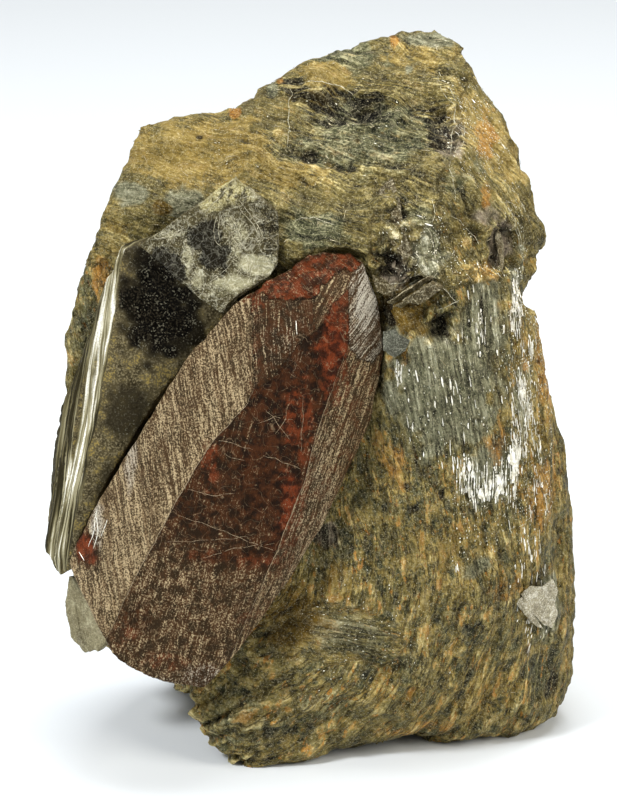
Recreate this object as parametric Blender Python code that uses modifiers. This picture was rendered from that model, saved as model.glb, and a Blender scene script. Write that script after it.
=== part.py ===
"""Biotite specimen: mica books grown into each other, with a red-brown biotite crystal on the front.

Lengths in the tables are millimetres. X is to the right, -Y is the front, Z is up, and the specimen
stands on a flat facet at Z = 0. Every solid starts as a convex hull, or a few, from the corners of
its crystal faces; ledges, pits and broken edges are then worn into it.
"""

import bmesh
import bpy
import numpy as np
from mathutils import Vector, noise

MM = 0.001

# Gap between pieces that touch
SEAT_GAP = 0.25 * MM

# The mass of mica books: the grid that its wear is carved at and the triangles that it keeps
MATRIX_GRID = 1.0 * MM
MATRIX_TRIANGLES = 6400

# Edges between faces that meet more sharply than this are chipped, this far in, in millimetres
SHARP_COSINE = 0.94
EDGE_REACH = 0.9

# How each crystal is worn, in millimetres: the normal of its sheets, the thickness of a packet of
# sheets, how far a packet can stand back, and the depth and size of the chips along its edges
CRYSTAL_FORMS = {
    "red_biotite_crystal": {
        "sheets": (0.90, 0.35, -0.20), "pitch": 2.2, "step": 0.12, "chip": 0.3, "chip_size": 5.0,
        "grid": 0.4, "triangles": 1200,
    },
    "dark_mica_book": {
        "sheets": (0.073, -0.985, 0.158), "pitch": 1.4, "step": 0.5, "chip": 0.35, "chip_size": 3.0,
        "grid": 0.4, "triangles": 1000,
    },
    "clear_mica_plate": {
        "sheets": (0.10, -0.97, 0.22), "pitch": 1.0, "step": 0.15, "chip": 0.3, "chip_size": 2.0,
        "grid": 0.25, "triangles": 260,
    },
    "corner_mica_plate": {
        "sheets": (0.50, -0.80, 0.30), "pitch": 1.0, "step": 0.2, "chip": 0.3, "chip_size": 2.0,
        "grid": 0.3, "triangles": 170,
    },
    "pocket_mica_sheet": {
        "sheets": (0.20, -0.90, 0.40), "pitch": 1.0, "step": 0.05, "chip": 0.1, "chip_size": 1.0,
        "grid": 0.15, "triangles": 90,
    },
}

# The mass of mica books. "sheets" is the normal of a book's sheets, "pitch" the thickness of a packet
# of sheets and "step" how far a packet can stand back from its neighbours.
BOOKS = {
    "crown": {
        "corners": [
            (-11, 7, 85), (-6, 10, 86.6), (-3, 12, 88.3), (2.2, 14, 90), (4.8, 15, 92.2), (12.2, 17, 93),
            (17.6, 17, 93), (20.2, 15, 92.2), (22.2, 16, 88.8), (26.7, 12, 81.6), (29.6, 8, 74.2), (31.2, 5, 68.7),
            (31.2, 4, 63.6), (29.9, 4, 61.8), (18.6, 8, 89.4), (19.3, 3, 85), (19.8, -2, 81), (9.3, -3.5, 76.2),
            (-1, -1.5, 78.2),
            (-10, 1, 77), (-4, -6.5, 69), (5.4, -8.5, 71.5), (14.4, -8, 70.6), (25.7, -2, 72), (27, -3, 66),
            (-12, 18, 80), (-3, 22, 85), (12, 23.5, 88), (23, 21, 80), (29.5, 16, 64), (-8, 22, 62), (20, 23, 58),
            (0, -4, 58), (22, -2, 56), (-12, 4, 58),
        ],
        "sheets": (0.05, 0.42, 0.91),
        "pitch": 3.2,
        "step": 0.7,
    },
    "shoulder": {
        "corners": [
            (-22, 6, 83), (-13.8, 8, 84.2), (-25.1, 4, 76.6), (-27, 1, 72.8), (-28.6, 1, 70.6),
            (-19.5, -1.5, 74.5), (-9, -1.5, 74.6), (-10.3, 3, 80.6), (-20, 15, 80), (-10, 19, 80),
            (-24, 14, 64), (-6, 20, 62), (-25, -1, 62), (-6, -2, 62),
        ],
        "sheets": (-0.1, 0.35, 0.93),
        "pitch": 3.0,
        "step": 0.6,
    },
    "left_slab": {
        "corners": [
            (-25, 5, 76.2), (-26.9, 2, 72.4), (-28.8, 2, 69.6), (-30, 1, 64), (-31.6, 1, 58), (-33.2, 0.5, 51),
            (-33.9, 0.5, 45), (-34.4, 1, 36.6), (-33.2, 1, 23.5), (-30.8, 1, 14.7), (-25.2, 0, 8), (-16.3, 0, 3),
            (-24, 15, 70), (-27, 14, 52), (-28, 13, 34), (-25, 14, 14), (-18, 15, -2), (-14, 3, -2),
            (-18, -8, 50), (-22, -8, 30), (-16, -9, 14), (-6, 20, 60), (-8, 21, 20),
        ],
        "sheets": (0.93, -0.30, 0.20),
        "pitch": 2.6,
        "step": 0.7,
    },
    "right_block": {
        "corners": [
            (11.8, -10, 68.6), (17, -9, 69.3), (23.5, -7, 67.9), (27.2, -4, 65.2), (30.8, 2, 57.6),
            (32.4, 2.5, 43.4), (35.4, 2.5, 34), (36.1, 2, 26), (36.8, 2, 14.4), (36, 1, 4.2), (35.5, 0, 2.3),
            (34.2, -3, 1.8), (31.5, -6, 1.6), (26, -8, 1.2), (21, -9, 1), (17.7, -10, 2), (12.4, -9, 1.8),
            (11.8, -12, 61), (18.3, -13.2, 51.7), (25, -10.3, 50.6), (30.6, -3.4, 48.1), (14.6, -16, 24.9),
            (25.3, -13.2, 23.6), (32.8, -6.3, 20.6), (20.2, -13.2, 10.6), (30, -8, 8.3), (14.8, -14.2, 11),
            (31.8, 12, 44), (35.5, 13, 20), (32, 17, 3), (28, 17, -2), (8, 18, -2), (12, -2, -2), (30, 0, -2),
            (27, 20, 52), (28, 21, 22), (8, 23, 30), (10, 22, 56), (6, -6, 40), (4, 0, 10),
        ],
        "sheets": (0.82, 0.56, 0.10),
        "pitch": 2.8,
        "step": 0.6,
    },
    "foot": {
        "corners": [
            (-15.7, -12, 9.8), (-15.8, -13, 6.8), (-13.4, -14, 3.8), (-12.1, -15, 3), (-10.2, -15.5, 1.8),
            (-8.5, -15.6, -0.5), (-4, -14.5, 1.2), (-0.2, -12, 2.8), (3.3, -10, 2.7), (9.6, -10, 2.4),
            (-1, -15.6, 19), (-9, -15.6, 10.2), (6.8, -14.2, 29.7), (12, -13.2, 40.6), (12.1, -15.4, 17.3),
            (-10, -12, -1), (-13, -7, 1), (-8, 6, -2), (8, -1, -2), (-14, 0, 12), (0, 0, 40), (-14, -10, 18),
            (15, -15.7, 22), (16.5, -14.6, 11), (16.5, -11.4, 3.2), (14, -14.4, 33),
        ],
        "sheets": (0.45, -0.25, 0.85),
        "pitch": 2.6,
        "step": 0.7,
    },
    "core": {
        "corners": [
            (-8, -3, 62), (8, -9, 62), (6, -10, 48), (3, -12, 33), (-6, -14, 17), (-24, -3, 50), (-27, -6, 26),
            (-24, -8, 16), (-16, -6, 6), (14, -10, 20), (-10, 21, 66), (14, 22, 66), (-12, 21, 10), (14, 22, 6),
            (-22, 12, 60), (-22, 13, 12),
        ],
        "sheets": (0.30, 0.90, 0.30),
        "pitch": 3.4,
        "step": 1.0,
    },
}

# Hollows in the mass: the pocket beside the red crystal, the crack over the right block and the
# pits on the shoulder of the crown
HOLLOWS = {
    "pocket": [
        (9.5, -16, 66.5), (15.5, -16, 68.5), (19, -14, 66.5), (18, -14, 62.2), (10, -16, 59.5), (12, -3, 64),
        (15.5, -3.5, 65),
    ],
    "front_crack": [
        (15, -14, 71.4), (20, -12, 71.2), (28.5, -8, 68.4), (15, -14, 70), (20, -12, 69.6), (28.5, -8, 67.2),
        (17, -5, 70.4), (27, -1.5, 67),
    ],
    "side_crack": [
        (27.5, -8, 67), (36, 0, 62.8), (36, 8, 59.4), (27.5, -8, 65.8), (36, 0, 60.6), (27.4, 0, 62.6), (29.8, 6, 60.4),
    ],
    "brown_pocket": [
        (24.5, -9, 73.5), (28.6, -7, 73), (29, -7, 67), (25, -9, 67.5), (25.6, 1.5, 70.5), (27.6, 2, 69.5),
    ],
    "upper_pit": [
        (-2, 2, 86), (3.2, 4, 86.6), (3.4, 2, 84.6), (-1.6, 0, 84), (0.5, 10, 83.6), (2.5, 10, 83.8),
    ],
    "ridge_pit": [
        (16.3, -3, 86.4), (19, -2, 86), (19.2, -4, 82.4), (16.6, -5, 82.6), (17.6, 4.5, 82.6),
    ],
    "lower_pits": [
        (13, -20, 42), (17.8, -20, 39.8), (18, -20, 38.2), (13.4, -20, 37.2), (15.4, -11.2, 39),
    ],
    "seam_pit": [
        (0.8, -20, 34.8), (4.2, -20, 36), (4, -20, 33.4), (1.4, -20, 32), (2.4, -9.5, 33.6),
    ],
}

# The red-brown crystal. Its three front faces meet in two long ridges. The corners of the middle face
# are given by X and Z and take their depth from the face's plane; the others are given in full.
MIDDLE_FACE = ((-27.0, -21.5, 19.5), (-13.5, -22.5, 15.3), (3.3, -13.4, 66.0))
RED_LEFT_RIDGE_XZ = [(1.2, 62.0), (-5.6, 55.5), (-8.2, 52.7), (-17.8, 38.4), (-27.4, 22.3)]
RED_RIGHT_RIDGE_XZ = [(5.2, 66.5), (5.2, 60.8), (-1.0, 42.0), (-4.1, 33.2), (-13.6, 14.6)]
RED_LOWER_END_XZ = [(-25.4, 18.4), (-23.4, 17.3), (-19.0, 15.5), (-15.2, 14.9)]
RED_LEFT_EDGE = [
    (-9.4, -9.5, 64.4), (-15.9, -10.5, 57.2), (-23.5, -11.5, 44.1), (-28.8, -12.5, 35.8), (-31.9, -14.0, 29.3),
    (-31.1, -15.0, 28.1), (-29.3, -16.5, 26.5), (-27.5, -18.5, 24.5),
]
RED_RIGHT_EDGE = [
    (10.1, -10.0, 57.5), (8.5, -11.0, 47.9), (5.0, -12.5, 41.1), (2.0, -14.0, 34.4), (-2.6, -16.0, 26.9),
    (-7.7, -19.5, 20.7),
]
RED_TOP_EDGE = [
    (-6.0, -9.0, 64.6), (-4.1, -8.0, 66.7), (-2.4, -7.5, 67.9), (1.6, -7.0, 70.6), (5.8, -7.0, 70.2),
    (7.2, -7.5, 69.5), (9.3, -8.5, 64.2),
]
RED_BACK = [
    (-8.0, -4.0, 62.0), (4.0, -3.0, 66.0), (8.0, -4.0, 58.0), (0.0, -7.0, 36.0), (-22.0, -6.0, 44.0),
    (-28.0, -8.0, 31.0), (-24.0, -11.5, 21.0), (-14.0, -12.5, 18.0),
]

# The dark book: the front cleavage face, the outer edge of its sheets, and where it enters the mass
DARK_CORNERS = [
    (-23.9, -5.5, 69.4), (-22.3, -5.4, 70.9), (-18.3, -5.2, 71.4), (-16.1, -4.8, 72.9), (-13.6, -4.6, 74.4),
    (-8.0, -5.6, 62.0), (-26.5, -7.2, 57.4), (-27.4, -8.4, 50.5), (-27.9, -9.4, 43.4), (-29.3, -10.8, 37.7),
    (-31.4, -12.5, 29.4), (-24.4, -4.0, 70.2), (-26.9, -3.2, 65.2), (-29.2, -2.4, 57.7), (-31.9, -2.0, 48.6),
    (-33.2, -2.0, 45.7), (-34.2, -2.4, 41.4), (-34.8, -4.0, 35.0), (-35.6, -6.0, 31.2), (-35.7, -7.4, 28.0),
    (-33.4, -9.8, 25.2), (-32.2, -12.2, 26.6), (-20.0, -8.5, 34.0), (-16.0, 1.0, 70.0), (-24.0, 3.0, 60.0),
    (-28.0, 2.0, 42.0), (-30.0, 0.0, 32.0), (-10.0, 1.5, 60.0), (-18.0, -1.0, 36.0),
]

# The clear plate: its outline on the plane that it leans in, and its thickness
CLEAR_PLANE = ((-20.5, -6.9, 71.0), (-8.5, -5.2, 79.0), (-3.6, -7.2, 69.0))
CLEAR_OUTLINE_XZ = [
    (-22.3, 70.7), (-18.2, 71.6), (-15.8, 73.2), (-13.3, 74.9), (-10.7, 78.3), (-9.3, 79.6), (-7.8, 77.9),
    (-5.8, 76.8), (-3.6, 74.7), (-3.6, 68.4), (-6.0, 65.0), (-11.0, 61.5), (-14.5, 64.0), (-19.0, 68.0),
]
CLEAR_THICKNESS = 1.3

# The corner plate behind the lower left end of the red crystal
CORNER_PLATE_CORNERS = [
    (-32.4, -7.0, 24.6), (-33.0, -7.6, 20.8), (-32.2, -8.4, 15.8), (-30.0, -10.0, 14.2), (-28.0, -11.0, 15.0),
    (-25.5, -11.2, 19.0), (-26.0, -9.4, 25.0), (-31.0, -4.0, 24.0), (-31.6, -4.6, 19.0), (-30.2, -5.2, 14.6),
    (-24.0, -6.0, 16.0), (-24.5, -5.0, 24.0),
]

# The silvery sheet that stands in the pocket
POCKET_SHEET_CORNERS = [
    (11.6, -12.6, 64.9), (15.9, -12.0, 67.4), (17.5, -11.4, 66.4), (14.3, -12.0, 64.2), (11.9, -11.9, 65.1),
    (16.0, -11.3, 67.6), (17.6, -10.7, 66.6), (14.4, -11.3, 64.3), (14.2, -7.6, 64.6), (15.8, -7.4, 65.6),
]

# The material of each piece, and each material's colour, roughness and how much light it lets through
FINISH_OF = {
    "mica_matrix": "matrix_mica",
    "red_biotite_crystal": "red_biotite",
    "dark_mica_book": "dark_biotite",
    "clear_mica_plate": "clear_mica",
    "corner_mica_plate": "corner_mica",
    "pocket_mica_sheet": "pocket_mica",
}
FINISHES = {
    "matrix_mica": ((0.23, 0.18, 0.09), 0.55, 0.0),
    "red_biotite": ((0.13, 0.06, 0.03), 0.45, 0.0),
    "dark_biotite": ((0.04, 0.035, 0.025), 0.30, 0.0),
    "clear_mica": ((0.55, 0.53, 0.46), 0.12, 0.6),
    "corner_mica": ((0.27, 0.24, 0.14), 0.30, 0.2),
    "pocket_mica": ((0.45, 0.45, 0.38), 0.25, 0.0),
}


def clear_scene():
    for obj in list(bpy.data.objects):
        bpy.data.objects.remove(obj, do_unlink=True)


def new_collection(name):
    collection = bpy.data.collections.new(name)
    bpy.context.scene.collection.children.link(collection)
    return collection


def make_material(name):
    colour, roughness, transmission = FINISHES[name]
    material = bpy.data.materials.new(name)
    material.use_nodes = True
    shader = material.node_tree.nodes["Principled BSDF"]
    shader.inputs["Base Color"].default_value = (*colour, 1.0)
    shader.inputs["Roughness"].default_value = roughness
    shader.inputs["Metallic"].default_value = 0.0
    shader.inputs["Transmission Weight"].default_value = transmission
    return material


def add_hull(bm, corners):
    """Add the convex hull of corners, given in millimetres, as a closed shell of its own."""
    verts = [bm.verts.new(Vector(corner) * MM) for corner in corners]
    hull = bmesh.ops.convex_hull(bm, input=verts)
    inside = {item for item in hull["geom_interior"] if isinstance(item, bmesh.types.BMVert)}
    bmesh.ops.delete(bm, geom=list(inside), context="VERTS")
    bmesh.ops.recalc_face_normals(bm, faces=bm.faces)


def hull_object(name, shells, collection):
    bm = bmesh.new()
    for corners in shells:
        add_hull(bm, corners)
    mesh = bpy.data.meshes.new(name)
    bm.to_mesh(mesh)
    bm.free()
    obj = bpy.data.objects.new(name, mesh)
    collection.objects.link(obj)
    return obj


def bake(obj):
    """Turn an object's modifiers into its mesh."""
    evaluated = obj.evaluated_get(bpy.context.evaluated_depsgraph_get())
    mesh = bpy.data.meshes.new_from_object(evaluated)
    obj.modifiers.clear()
    obj.data = mesh
    mesh.name = obj.name


def merge_shells(obj, grid):
    """Join an object's overlapping shells into one skin with faces about one grid step across."""
    remesh = obj.modifiers.new("skin", "REMESH")
    remesh.mode = "VOXEL"
    remesh.voxel_size = grid
    bake(obj)


def thin_out(obj, triangles):
    """Keep about this many triangles, most of them where the surface bends."""
    count = sum(len(polygon.vertices) - 2 for polygon in obj.data.polygons)
    decimate = obj.modifiers.new("thin", "DECIMATE")
    decimate.ratio = triangles / count
    bake(obj)


def cut(obj, cutter, solver="EXACT"):
    boolean = obj.modifiers.new("cut", "BOOLEAN")
    boolean.operation = "DIFFERENCE"
    boolean.solver = solver
    boolean.object = cutter
    bake(obj)


def keep_largest(obj):
    """Drop crumbs that a cut has left loose."""
    bm = bmesh.new()
    bm.from_mesh(obj.data)
    bmesh.ops.remove_doubles(bm, verts=bm.verts, dist=0.02 * MM)
    pending = set(bm.verts)
    islands = []
    while pending:
        island = set()
        front = [pending.pop()]
        while front:
            vert = front.pop()
            island.add(vert)
            near = {edge.other_vert(vert) for edge in vert.link_edges} & pending
            pending -= near
            front.extend(near)
        islands.append(island)
    biggest = max(islands, key=len)
    crumbs = [vert for island in islands if island is not biggest for vert in island]
    bmesh.ops.delete(bm, geom=crumbs, context="VERTS")
    bmesh.ops.dissolve_degenerate(bm, dist=0.02 * MM, edges=bm.edges)
    bmesh.ops.triangulate(bm, faces=bm.faces)
    bmesh.ops.recalc_face_normals(bm, faces=bm.faces)
    bm.to_mesh(obj.data)
    bm.free()


def move_vertices(obj, shift):
    """Move every vertex along its normal by shift(place), both in millimetres."""
    moved = [vertex.co + vertex.normal * (shift(vertex.co / MM) * MM) for vertex in obj.data.vertices]
    for vertex, place in zip(obj.data.vertices, moved):
        vertex.co = place


def packet_step(place, sheets, pitch, bend):
    """0 to 1, one value for each packet of sheets, changing slowly along the packet."""
    warp = noise.noise(place / 22.0)
    packet = int(np.floor(place.dot(sheets) / pitch + bend * warp))
    along = place / 15.0
    value = noise.noise(Vector((along.x + 7.31 * packet, along.y, along.z + 3.17 * packet)))
    return min(max(0.5 + 1.2 * value, 0.0), 1.0)


def hull_planes(corners):
    """Outward normals and offsets of a hull's faces, in millimetres."""
    bm = bmesh.new()
    add_hull(bm, corners)
    normals = np.array([face.normal[:] for face in bm.faces])
    offsets = np.array([face.normal.dot(face.verts[0].co) / MM for face in bm.faces])
    bm.free()
    return normals, offsets


def nearest_book(place, planes):
    """The book whose face the place lies on."""
    point = np.array(place[:])
    distance = {name: abs(np.max(normals @ point - offsets)) for name, (normals, offsets) in planes.items()}
    return min(distance, key=distance.get)


def wear_matrix(obj):
    planes = {name: hull_planes(book["corners"]) for name, book in BOOKS.items()}
    sheets = {name: Vector(book["sheets"]).normalized() for name, book in BOOKS.items()}

    def shift(place):
        name = nearest_book(place, planes)
        book = BOOKS[name]
        ledge = packet_step(place, sheets[name], book["pitch"], 1.1)
        lump = noise.fractal(place / 14.0, 0.9, 2.1, 3)
        return book["step"] * (0.25 - ledge) + 0.7 * lump

    move_vertices(obj, shift)


def make_matrix(collection, cutters):
    matrix = hull_object("mica_matrix", [book["corners"] for book in BOOKS.values()], collection)
    merge_shells(matrix, MATRIX_GRID)
    for name, corners in HOLLOWS.items():
        cut(matrix, hull_object(name + "_cutter", [corners], cutters))
    merge_shells(matrix, MATRIX_GRID)
    wear_matrix(matrix)
    thin_out(matrix, MATRIX_TRIANGLES)
    ground = [(x, y, z) for x in (-60, 60) for y in (-60, 60) for z in (-30, 0)]
    cut(matrix, hull_object("ground_cutter", [ground], cutters))
    return matrix


def grown(corners):
    """Corners whose hull stands off the hull of the given ones by the seat gap."""
    gap = SEAT_GAP / MM
    offsets = [(i, j, k) for i in (-gap, gap) for j in (-gap, gap) for k in (-gap, gap)]
    return [tuple(np.add(corner, offset)) for corner in corners for offset in offsets]


def on_plane(plane, x, z):
    """The point of a plane, given by three points, at this x and z."""
    first, second, third = (Vector(point) for point in plane)
    normal = (second - first).cross(third - first)
    y = first.y - (normal.x * (x - first.x) + normal.z * (z - first.z)) / normal.y
    return (x, y, z)


def red_corners():
    middle = RED_LEFT_RIDGE_XZ + RED_RIGHT_RIDGE_XZ + RED_LOWER_END_XZ
    front = [on_plane(MIDDLE_FACE, x, z) for x, z in middle]
    return front + RED_LEFT_EDGE + RED_RIGHT_EDGE + RED_TOP_EDGE + RED_BACK


def clear_corners():
    front = [on_plane(CLEAR_PLANE, x, z) for x, z in CLEAR_OUTLINE_XZ]
    return front + [(x, y + CLEAR_THICKNESS, z) for x, y, z in front]


def edge_closeness(point, normals, offsets):
    """1 on the edges between a hull's faces, falling to 0 a few EDGE_REACH inside a face."""
    depth = offsets - normals @ point
    face = int(np.argmin(depth))
    others = depth[normals @ normals[face] < SHARP_COSINE]
    return float(np.exp(-others.min() / EDGE_REACH))


def make_crystal(name, corners, collection):
    """One crystal: a hull whose packets of sheets stand back a little, with chipped edges."""
    form = CRYSTAL_FORMS[name]
    crystal = hull_object(name, [corners], collection)
    merge_shells(crystal, form["grid"] * MM)
    sheets = Vector(form["sheets"]).normalized()
    normals, offsets = hull_planes(corners)

    def shift(place):
        ledge = packet_step(place, sheets, form["pitch"], 0.15)
        chip = max(0.35 + noise.fractal(place / form["chip_size"], 0.9, 2.1, 3), 0.0)
        return -form["step"] * ledge - form["chip"] * chip * edge_closeness(np.array(place[:]), normals, offsets)

    move_vertices(crystal, shift)
    thin_out(crystal, form["triangles"])
    return crystal


def stand_on_origin(objects):
    """Put the middle of the specimen's footprint on the origin."""
    places = np.array([vertex.co[:] for obj in objects for vertex in obj.data.vertices])
    middle = (places.min(axis=0) + places.max(axis=0)) / 2
    for obj in objects:
        for vertex in obj.data.vertices:
            vertex.co -= Vector((middle[0], middle[1], 0.0))


def main():
    clear_scene()
    specimen = new_collection("biotite_specimen")
    cutters = new_collection("cutters")
    crystals = {
        "red_biotite_crystal": red_corners(),
        "dark_mica_book": DARK_CORNERS,
        "clear_mica_plate": clear_corners(),
        "corner_mica_plate": CORNER_PLATE_CORNERS,
        "pocket_mica_sheet": POCKET_SHEET_CORNERS,
    }
    pieces = [make_crystal(name, corners, specimen) for name, corners in crystals.items()]
    pieces.append(make_matrix(specimen, cutters))
    seats = [hull_object(name + "_seat_cutter", [grown(corners)], cutters) for name, corners in crystals.items()]
    for order, piece in enumerate(pieces):
        for seat in seats[:order]:
            cut(piece, seat)
        keep_largest(piece)
    stand_on_origin(pieces)
    for piece in pieces:
        piece.data.materials.append(make_material(FINISH_OF[piece.name]))
    for cutter in cutters.objects:
        cutter.hide_render = True
        cutter.display_type = "WIRE"


main()
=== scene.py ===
"""Finish of the biotite specimen: worn mica books, a lined red-brown crystal, clear and dark mica.

Lengths in the tables are millimetres in the part's frame: +X right, -Y front, +Z up.
"""

import itertools
import math
from types import SimpleNamespace

import bmesh
import bpy
import numpy as np
from mathutils import Matrix, Vector
from mathutils import noise as mathutils_noise
from mathutils.bvhtree import BVHTree


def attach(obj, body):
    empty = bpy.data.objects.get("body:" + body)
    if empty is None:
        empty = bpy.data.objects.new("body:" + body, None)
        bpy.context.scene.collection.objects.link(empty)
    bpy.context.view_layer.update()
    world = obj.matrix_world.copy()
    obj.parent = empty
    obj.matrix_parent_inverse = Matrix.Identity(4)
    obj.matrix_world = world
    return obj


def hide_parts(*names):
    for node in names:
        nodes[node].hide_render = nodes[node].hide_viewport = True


MM = 0.001

# ---------------------------------------------------------------- driving values

# The finest grid that each piece's surface is carved at
MATRIX_GRID = 0.485
RED_GRID = 0.24
DARK_GRID = 0.28
PLATE_GRID = 0.15
# Corners of the CAD solids that are closer than this are one
WELD_DISTANCE = 0.002
# The clear space that the mass leaves round the other pieces
NEIGHBOUR_GAP = 0.12

# Camera: a long lens, 20 degrees above the horizon
CAMERA_TARGET = (-0.69, -0.59, 47.0)
CAMERA_DISTANCE = 500.0
CAMERA_ELEVATION = 20.0
CAMERA_LENS = 168.75

# The tables below count millimetres from this point of the foot
FOOT_MIDDLE = np.array((0.52, 0.05, 0.0))

# How many loose pieces of mica lie on the mass
FLAKES = 3600
SPARKLES = 1800
GLINTS = 850
GLARES = 90
HAIRS = 500

# ---------------------------------------------------------------- numbers over a surface


def to_metres(places):
    """A place of the tables, in metres in the part's frame."""
    return (np.asarray(places) + FOOT_MIDDLE) * MM


def unit(vector):
    vector = np.asarray(vector, dtype=float)
    return vector / np.linalg.norm(vector)


def unit_rows(vectors):
    return vectors / np.linalg.norm(vectors, axis=1)[:, None]


def square_to(axes, vectors):
    """Unit vectors square to the axes, row by row, and as near the given vectors as they can be."""
    shadows = np.einsum("ij,ij->i", vectors, axes)[:, None]
    return unit_rows(vectors - axes * shadows)


def cell_hash(cells, seed):
    """A number from 0 to 1 for each row of whole-number cells."""
    x, y, z = (cells[:, i].astype(np.int64) for i in range(3))
    mixed = (x * 374761393 + y * 668265263 + z * 1440670441 + seed * 974634777) & 0xFFFFFFFF
    mixed = ((mixed ^ (mixed >> 13)) * 1274126177) & 0xFFFFFFFF
    mixed = ((mixed ^ (mixed >> 16)) * 2246822519) & 0xFFFFFFFF
    return (mixed ^ (mixed >> 15)) / 0xFFFFFFFF


def noise(points, seed=0):
    """Smooth noise from -1 to 1 at each row of points; each use has a seed of its own."""
    cells = np.floor(points)
    part = points - cells
    ease = part**3 * (part * (part * 6 - 15) + 10)
    total = np.zeros(len(points))
    for corner in itertools.product((0, 1), repeat=3):
        step = np.array(corner)
        weight = np.prod(np.where(step, ease, 1 - ease), axis=1)
        total += weight * cell_hash(cells + step, seed)
    return total * 2 - 1


def noise_vectors(points, seed):
    return np.column_stack([noise(points, seed + axis) for axis in range(3)])


def rough_noise(points, octaves, seed=0):
    """Noise with finer and weaker copies added."""
    total = np.zeros(len(points))
    for octave in range(octaves):
        total += noise(points * 2.03**octave, seed + octave) * 0.55**octave
    return total


def smooth_step(low, high, values):
    t = np.clip((values - low) / (high - low), 0, 1)
    return t * t * (3 - 2 * t)


# ---------------------------------------------------------------- mesh steps


def link_object(name, data):
    obj = bpy.data.objects.new(name, data)
    bpy.context.scene.collection.objects.link(obj)
    return obj


def make_object(name, bm):
    """A new object from a bmesh, which is freed."""
    mesh = bpy.data.meshes.new(name)
    bm.to_mesh(mesh)
    bm.free()
    return link_object(name, mesh)


def move_to_part(bm):
    """Take what was drawn in the tables' millimetres to metres in the part's frame."""
    bmesh.ops.translate(bm, vec=FOOT_MIDDLE, verts=bm.verts)
    bmesh.ops.scale(bm, vec=(MM, MM, MM), verts=bm.verts)


def evaluated_mesh(obj):
    return bpy.data.meshes.new_from_object(obj.evaluated_get(bpy.context.evaluated_depsgraph_get()))


def bake_modifiers(obj):
    mesh = evaluated_mesh(obj)
    obj.modifiers.clear()
    obj.data = mesh
    mesh.name = obj.name


def thicken(obj, thickness):
    """Give flat faces a thickness, half of it on each side."""
    solid = obj.modifiers.new("thickness", "SOLIDIFY")
    solid.thickness = thickness * MM
    solid.offset = 0.0


def fine_copy(node, name, grid):
    """A copy of a node's solid with an even skin of small faces."""
    bm = bmesh.new()
    bm.from_mesh(node.data)
    bmesh.ops.remove_doubles(bm, verts=bm.verts, dist=WELD_DISTANCE * MM)
    obj = make_object(name, bm)
    remesh = obj.modifiers.new("skin", "REMESH")
    remesh.mode = "VOXEL"
    remesh.voxel_size = grid * MM * 1.0
    bake_modifiers(obj)
    return obj


def search_tree(*objects):
    """The faces of some objects, ready to be searched."""
    bm = bmesh.new()
    for obj in objects:
        bm.from_mesh(obj.data)
    tree = BVHTree.FromBMesh(bm)
    bm.free()
    return tree


def read_vertices(obj, name):
    values = np.empty(len(obj.data.vertices) * 3, dtype=np.float32)
    obj.data.vertices.foreach_get(name, values)
    return values.reshape(-1, 3).astype(float)


def get_places(obj):
    return read_vertices(obj, "co") / MM - FOOT_MIDDLE


def set_places(obj, places):
    obj.data.vertices.foreach_set("co", to_metres(places).astype(np.float32).ravel())
    obj.data.update()


def get_edges(obj):
    values = np.empty(len(obj.data.edges) * 2, dtype=np.int32)
    obj.data.edges.foreach_get("vertices", values)
    return values.reshape(-1, 2)


def spread(values, edges, rounds, share=0.5):
    """Average a value, or a place, with its neighbours'."""
    values = np.array(values, dtype=float)
    count = np.bincount(edges.ravel(), minlength=len(values)).astype(float)
    columns = values.reshape(len(values), -1)
    for _ in range(rounds):
        total = np.zeros_like(columns)
        for column in range(columns.shape[1]):
            total[:, column] += np.bincount(edges[:, 0], columns[edges[:, 1], column], len(values))
            total[:, column] += np.bincount(edges[:, 1], columns[edges[:, 0], column], len(values))
        columns = columns + share * (total / count[:, None] - columns)
    return columns.reshape(values.shape)


def eased_copy(node, name, grid, normal_rounds=2, place_rounds=2):
    """A fine copy with its corners eased, then its edges, its places and its evened normals."""
    obj = fine_copy(node, name, grid)
    edges = get_edges(obj)
    places = spread(get_places(obj), edges, place_rounds)
    set_places(obj, places)
    normals = unit_rows(spread(read_vertices(obj, "normal"), edges, normal_rounds))
    return obj, edges, places, normals


def set_attributes(obj, values_by_name):
    for name, values in values_by_name.items():
        layer = obj.data.attributes.new(name, "FLOAT", "POINT")
        layer.data.foreach_set("value", np.asarray(values, dtype=np.float32))


def shade(obj, sharp_degrees):
    obj.data.shade_smooth()
    obj.data.set_sharp_from_angle(angle=math.radians(sharp_degrees))


def finish_piece(obj, node_name, material):
    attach(obj, "root")
    if node_name:
        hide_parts(node_name)
    obj.data.materials.clear()
    obj.data.materials.append(material)


# ---------------------------------------------------------------- finish: shared nodes


def plug(tree, node, inputs):
    """Give a node its inputs, by name or number: each is a value or the socket that it comes from."""
    for socket, value in inputs.items():
        if isinstance(value, bpy.types.NodeSocket):
            tree.links.new(value, node.inputs[socket])
        else:
            node.inputs[socket].default_value = value


def add(tree, kind, inputs=None, **settings):
    """A shader node with its settings and inputs."""
    made = tree.nodes.new("ShaderNode" + kind)
    for name, value in settings.items():
        setattr(made, name, value)
    plug(tree, made, inputs or {})
    return made


def math_node(tree, operation, a, b=0.0, clamp=False):
    return add(tree, "Math", {0: a, 1: b}, operation=operation, use_clamp=clamp).outputs[0]


def times(tree, a, b):
    return math_node(tree, "MULTIPLY", a, b)


def plus(tree, a, b):
    return math_node(tree, "ADD", a, b)


def vector_node(tree, operation, inputs):
    return add(tree, "VectorMath", inputs, operation=operation).outputs["Vector"]


def weigh(tree, *pairs):
    """The sum of values times their weights."""
    total = 0.0
    for value, weight in pairs:
        total = add(tree, "Math", {0: value, 1: weight, 2: total}, operation="MULTIPLY_ADD").outputs[0]
    return total


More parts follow.
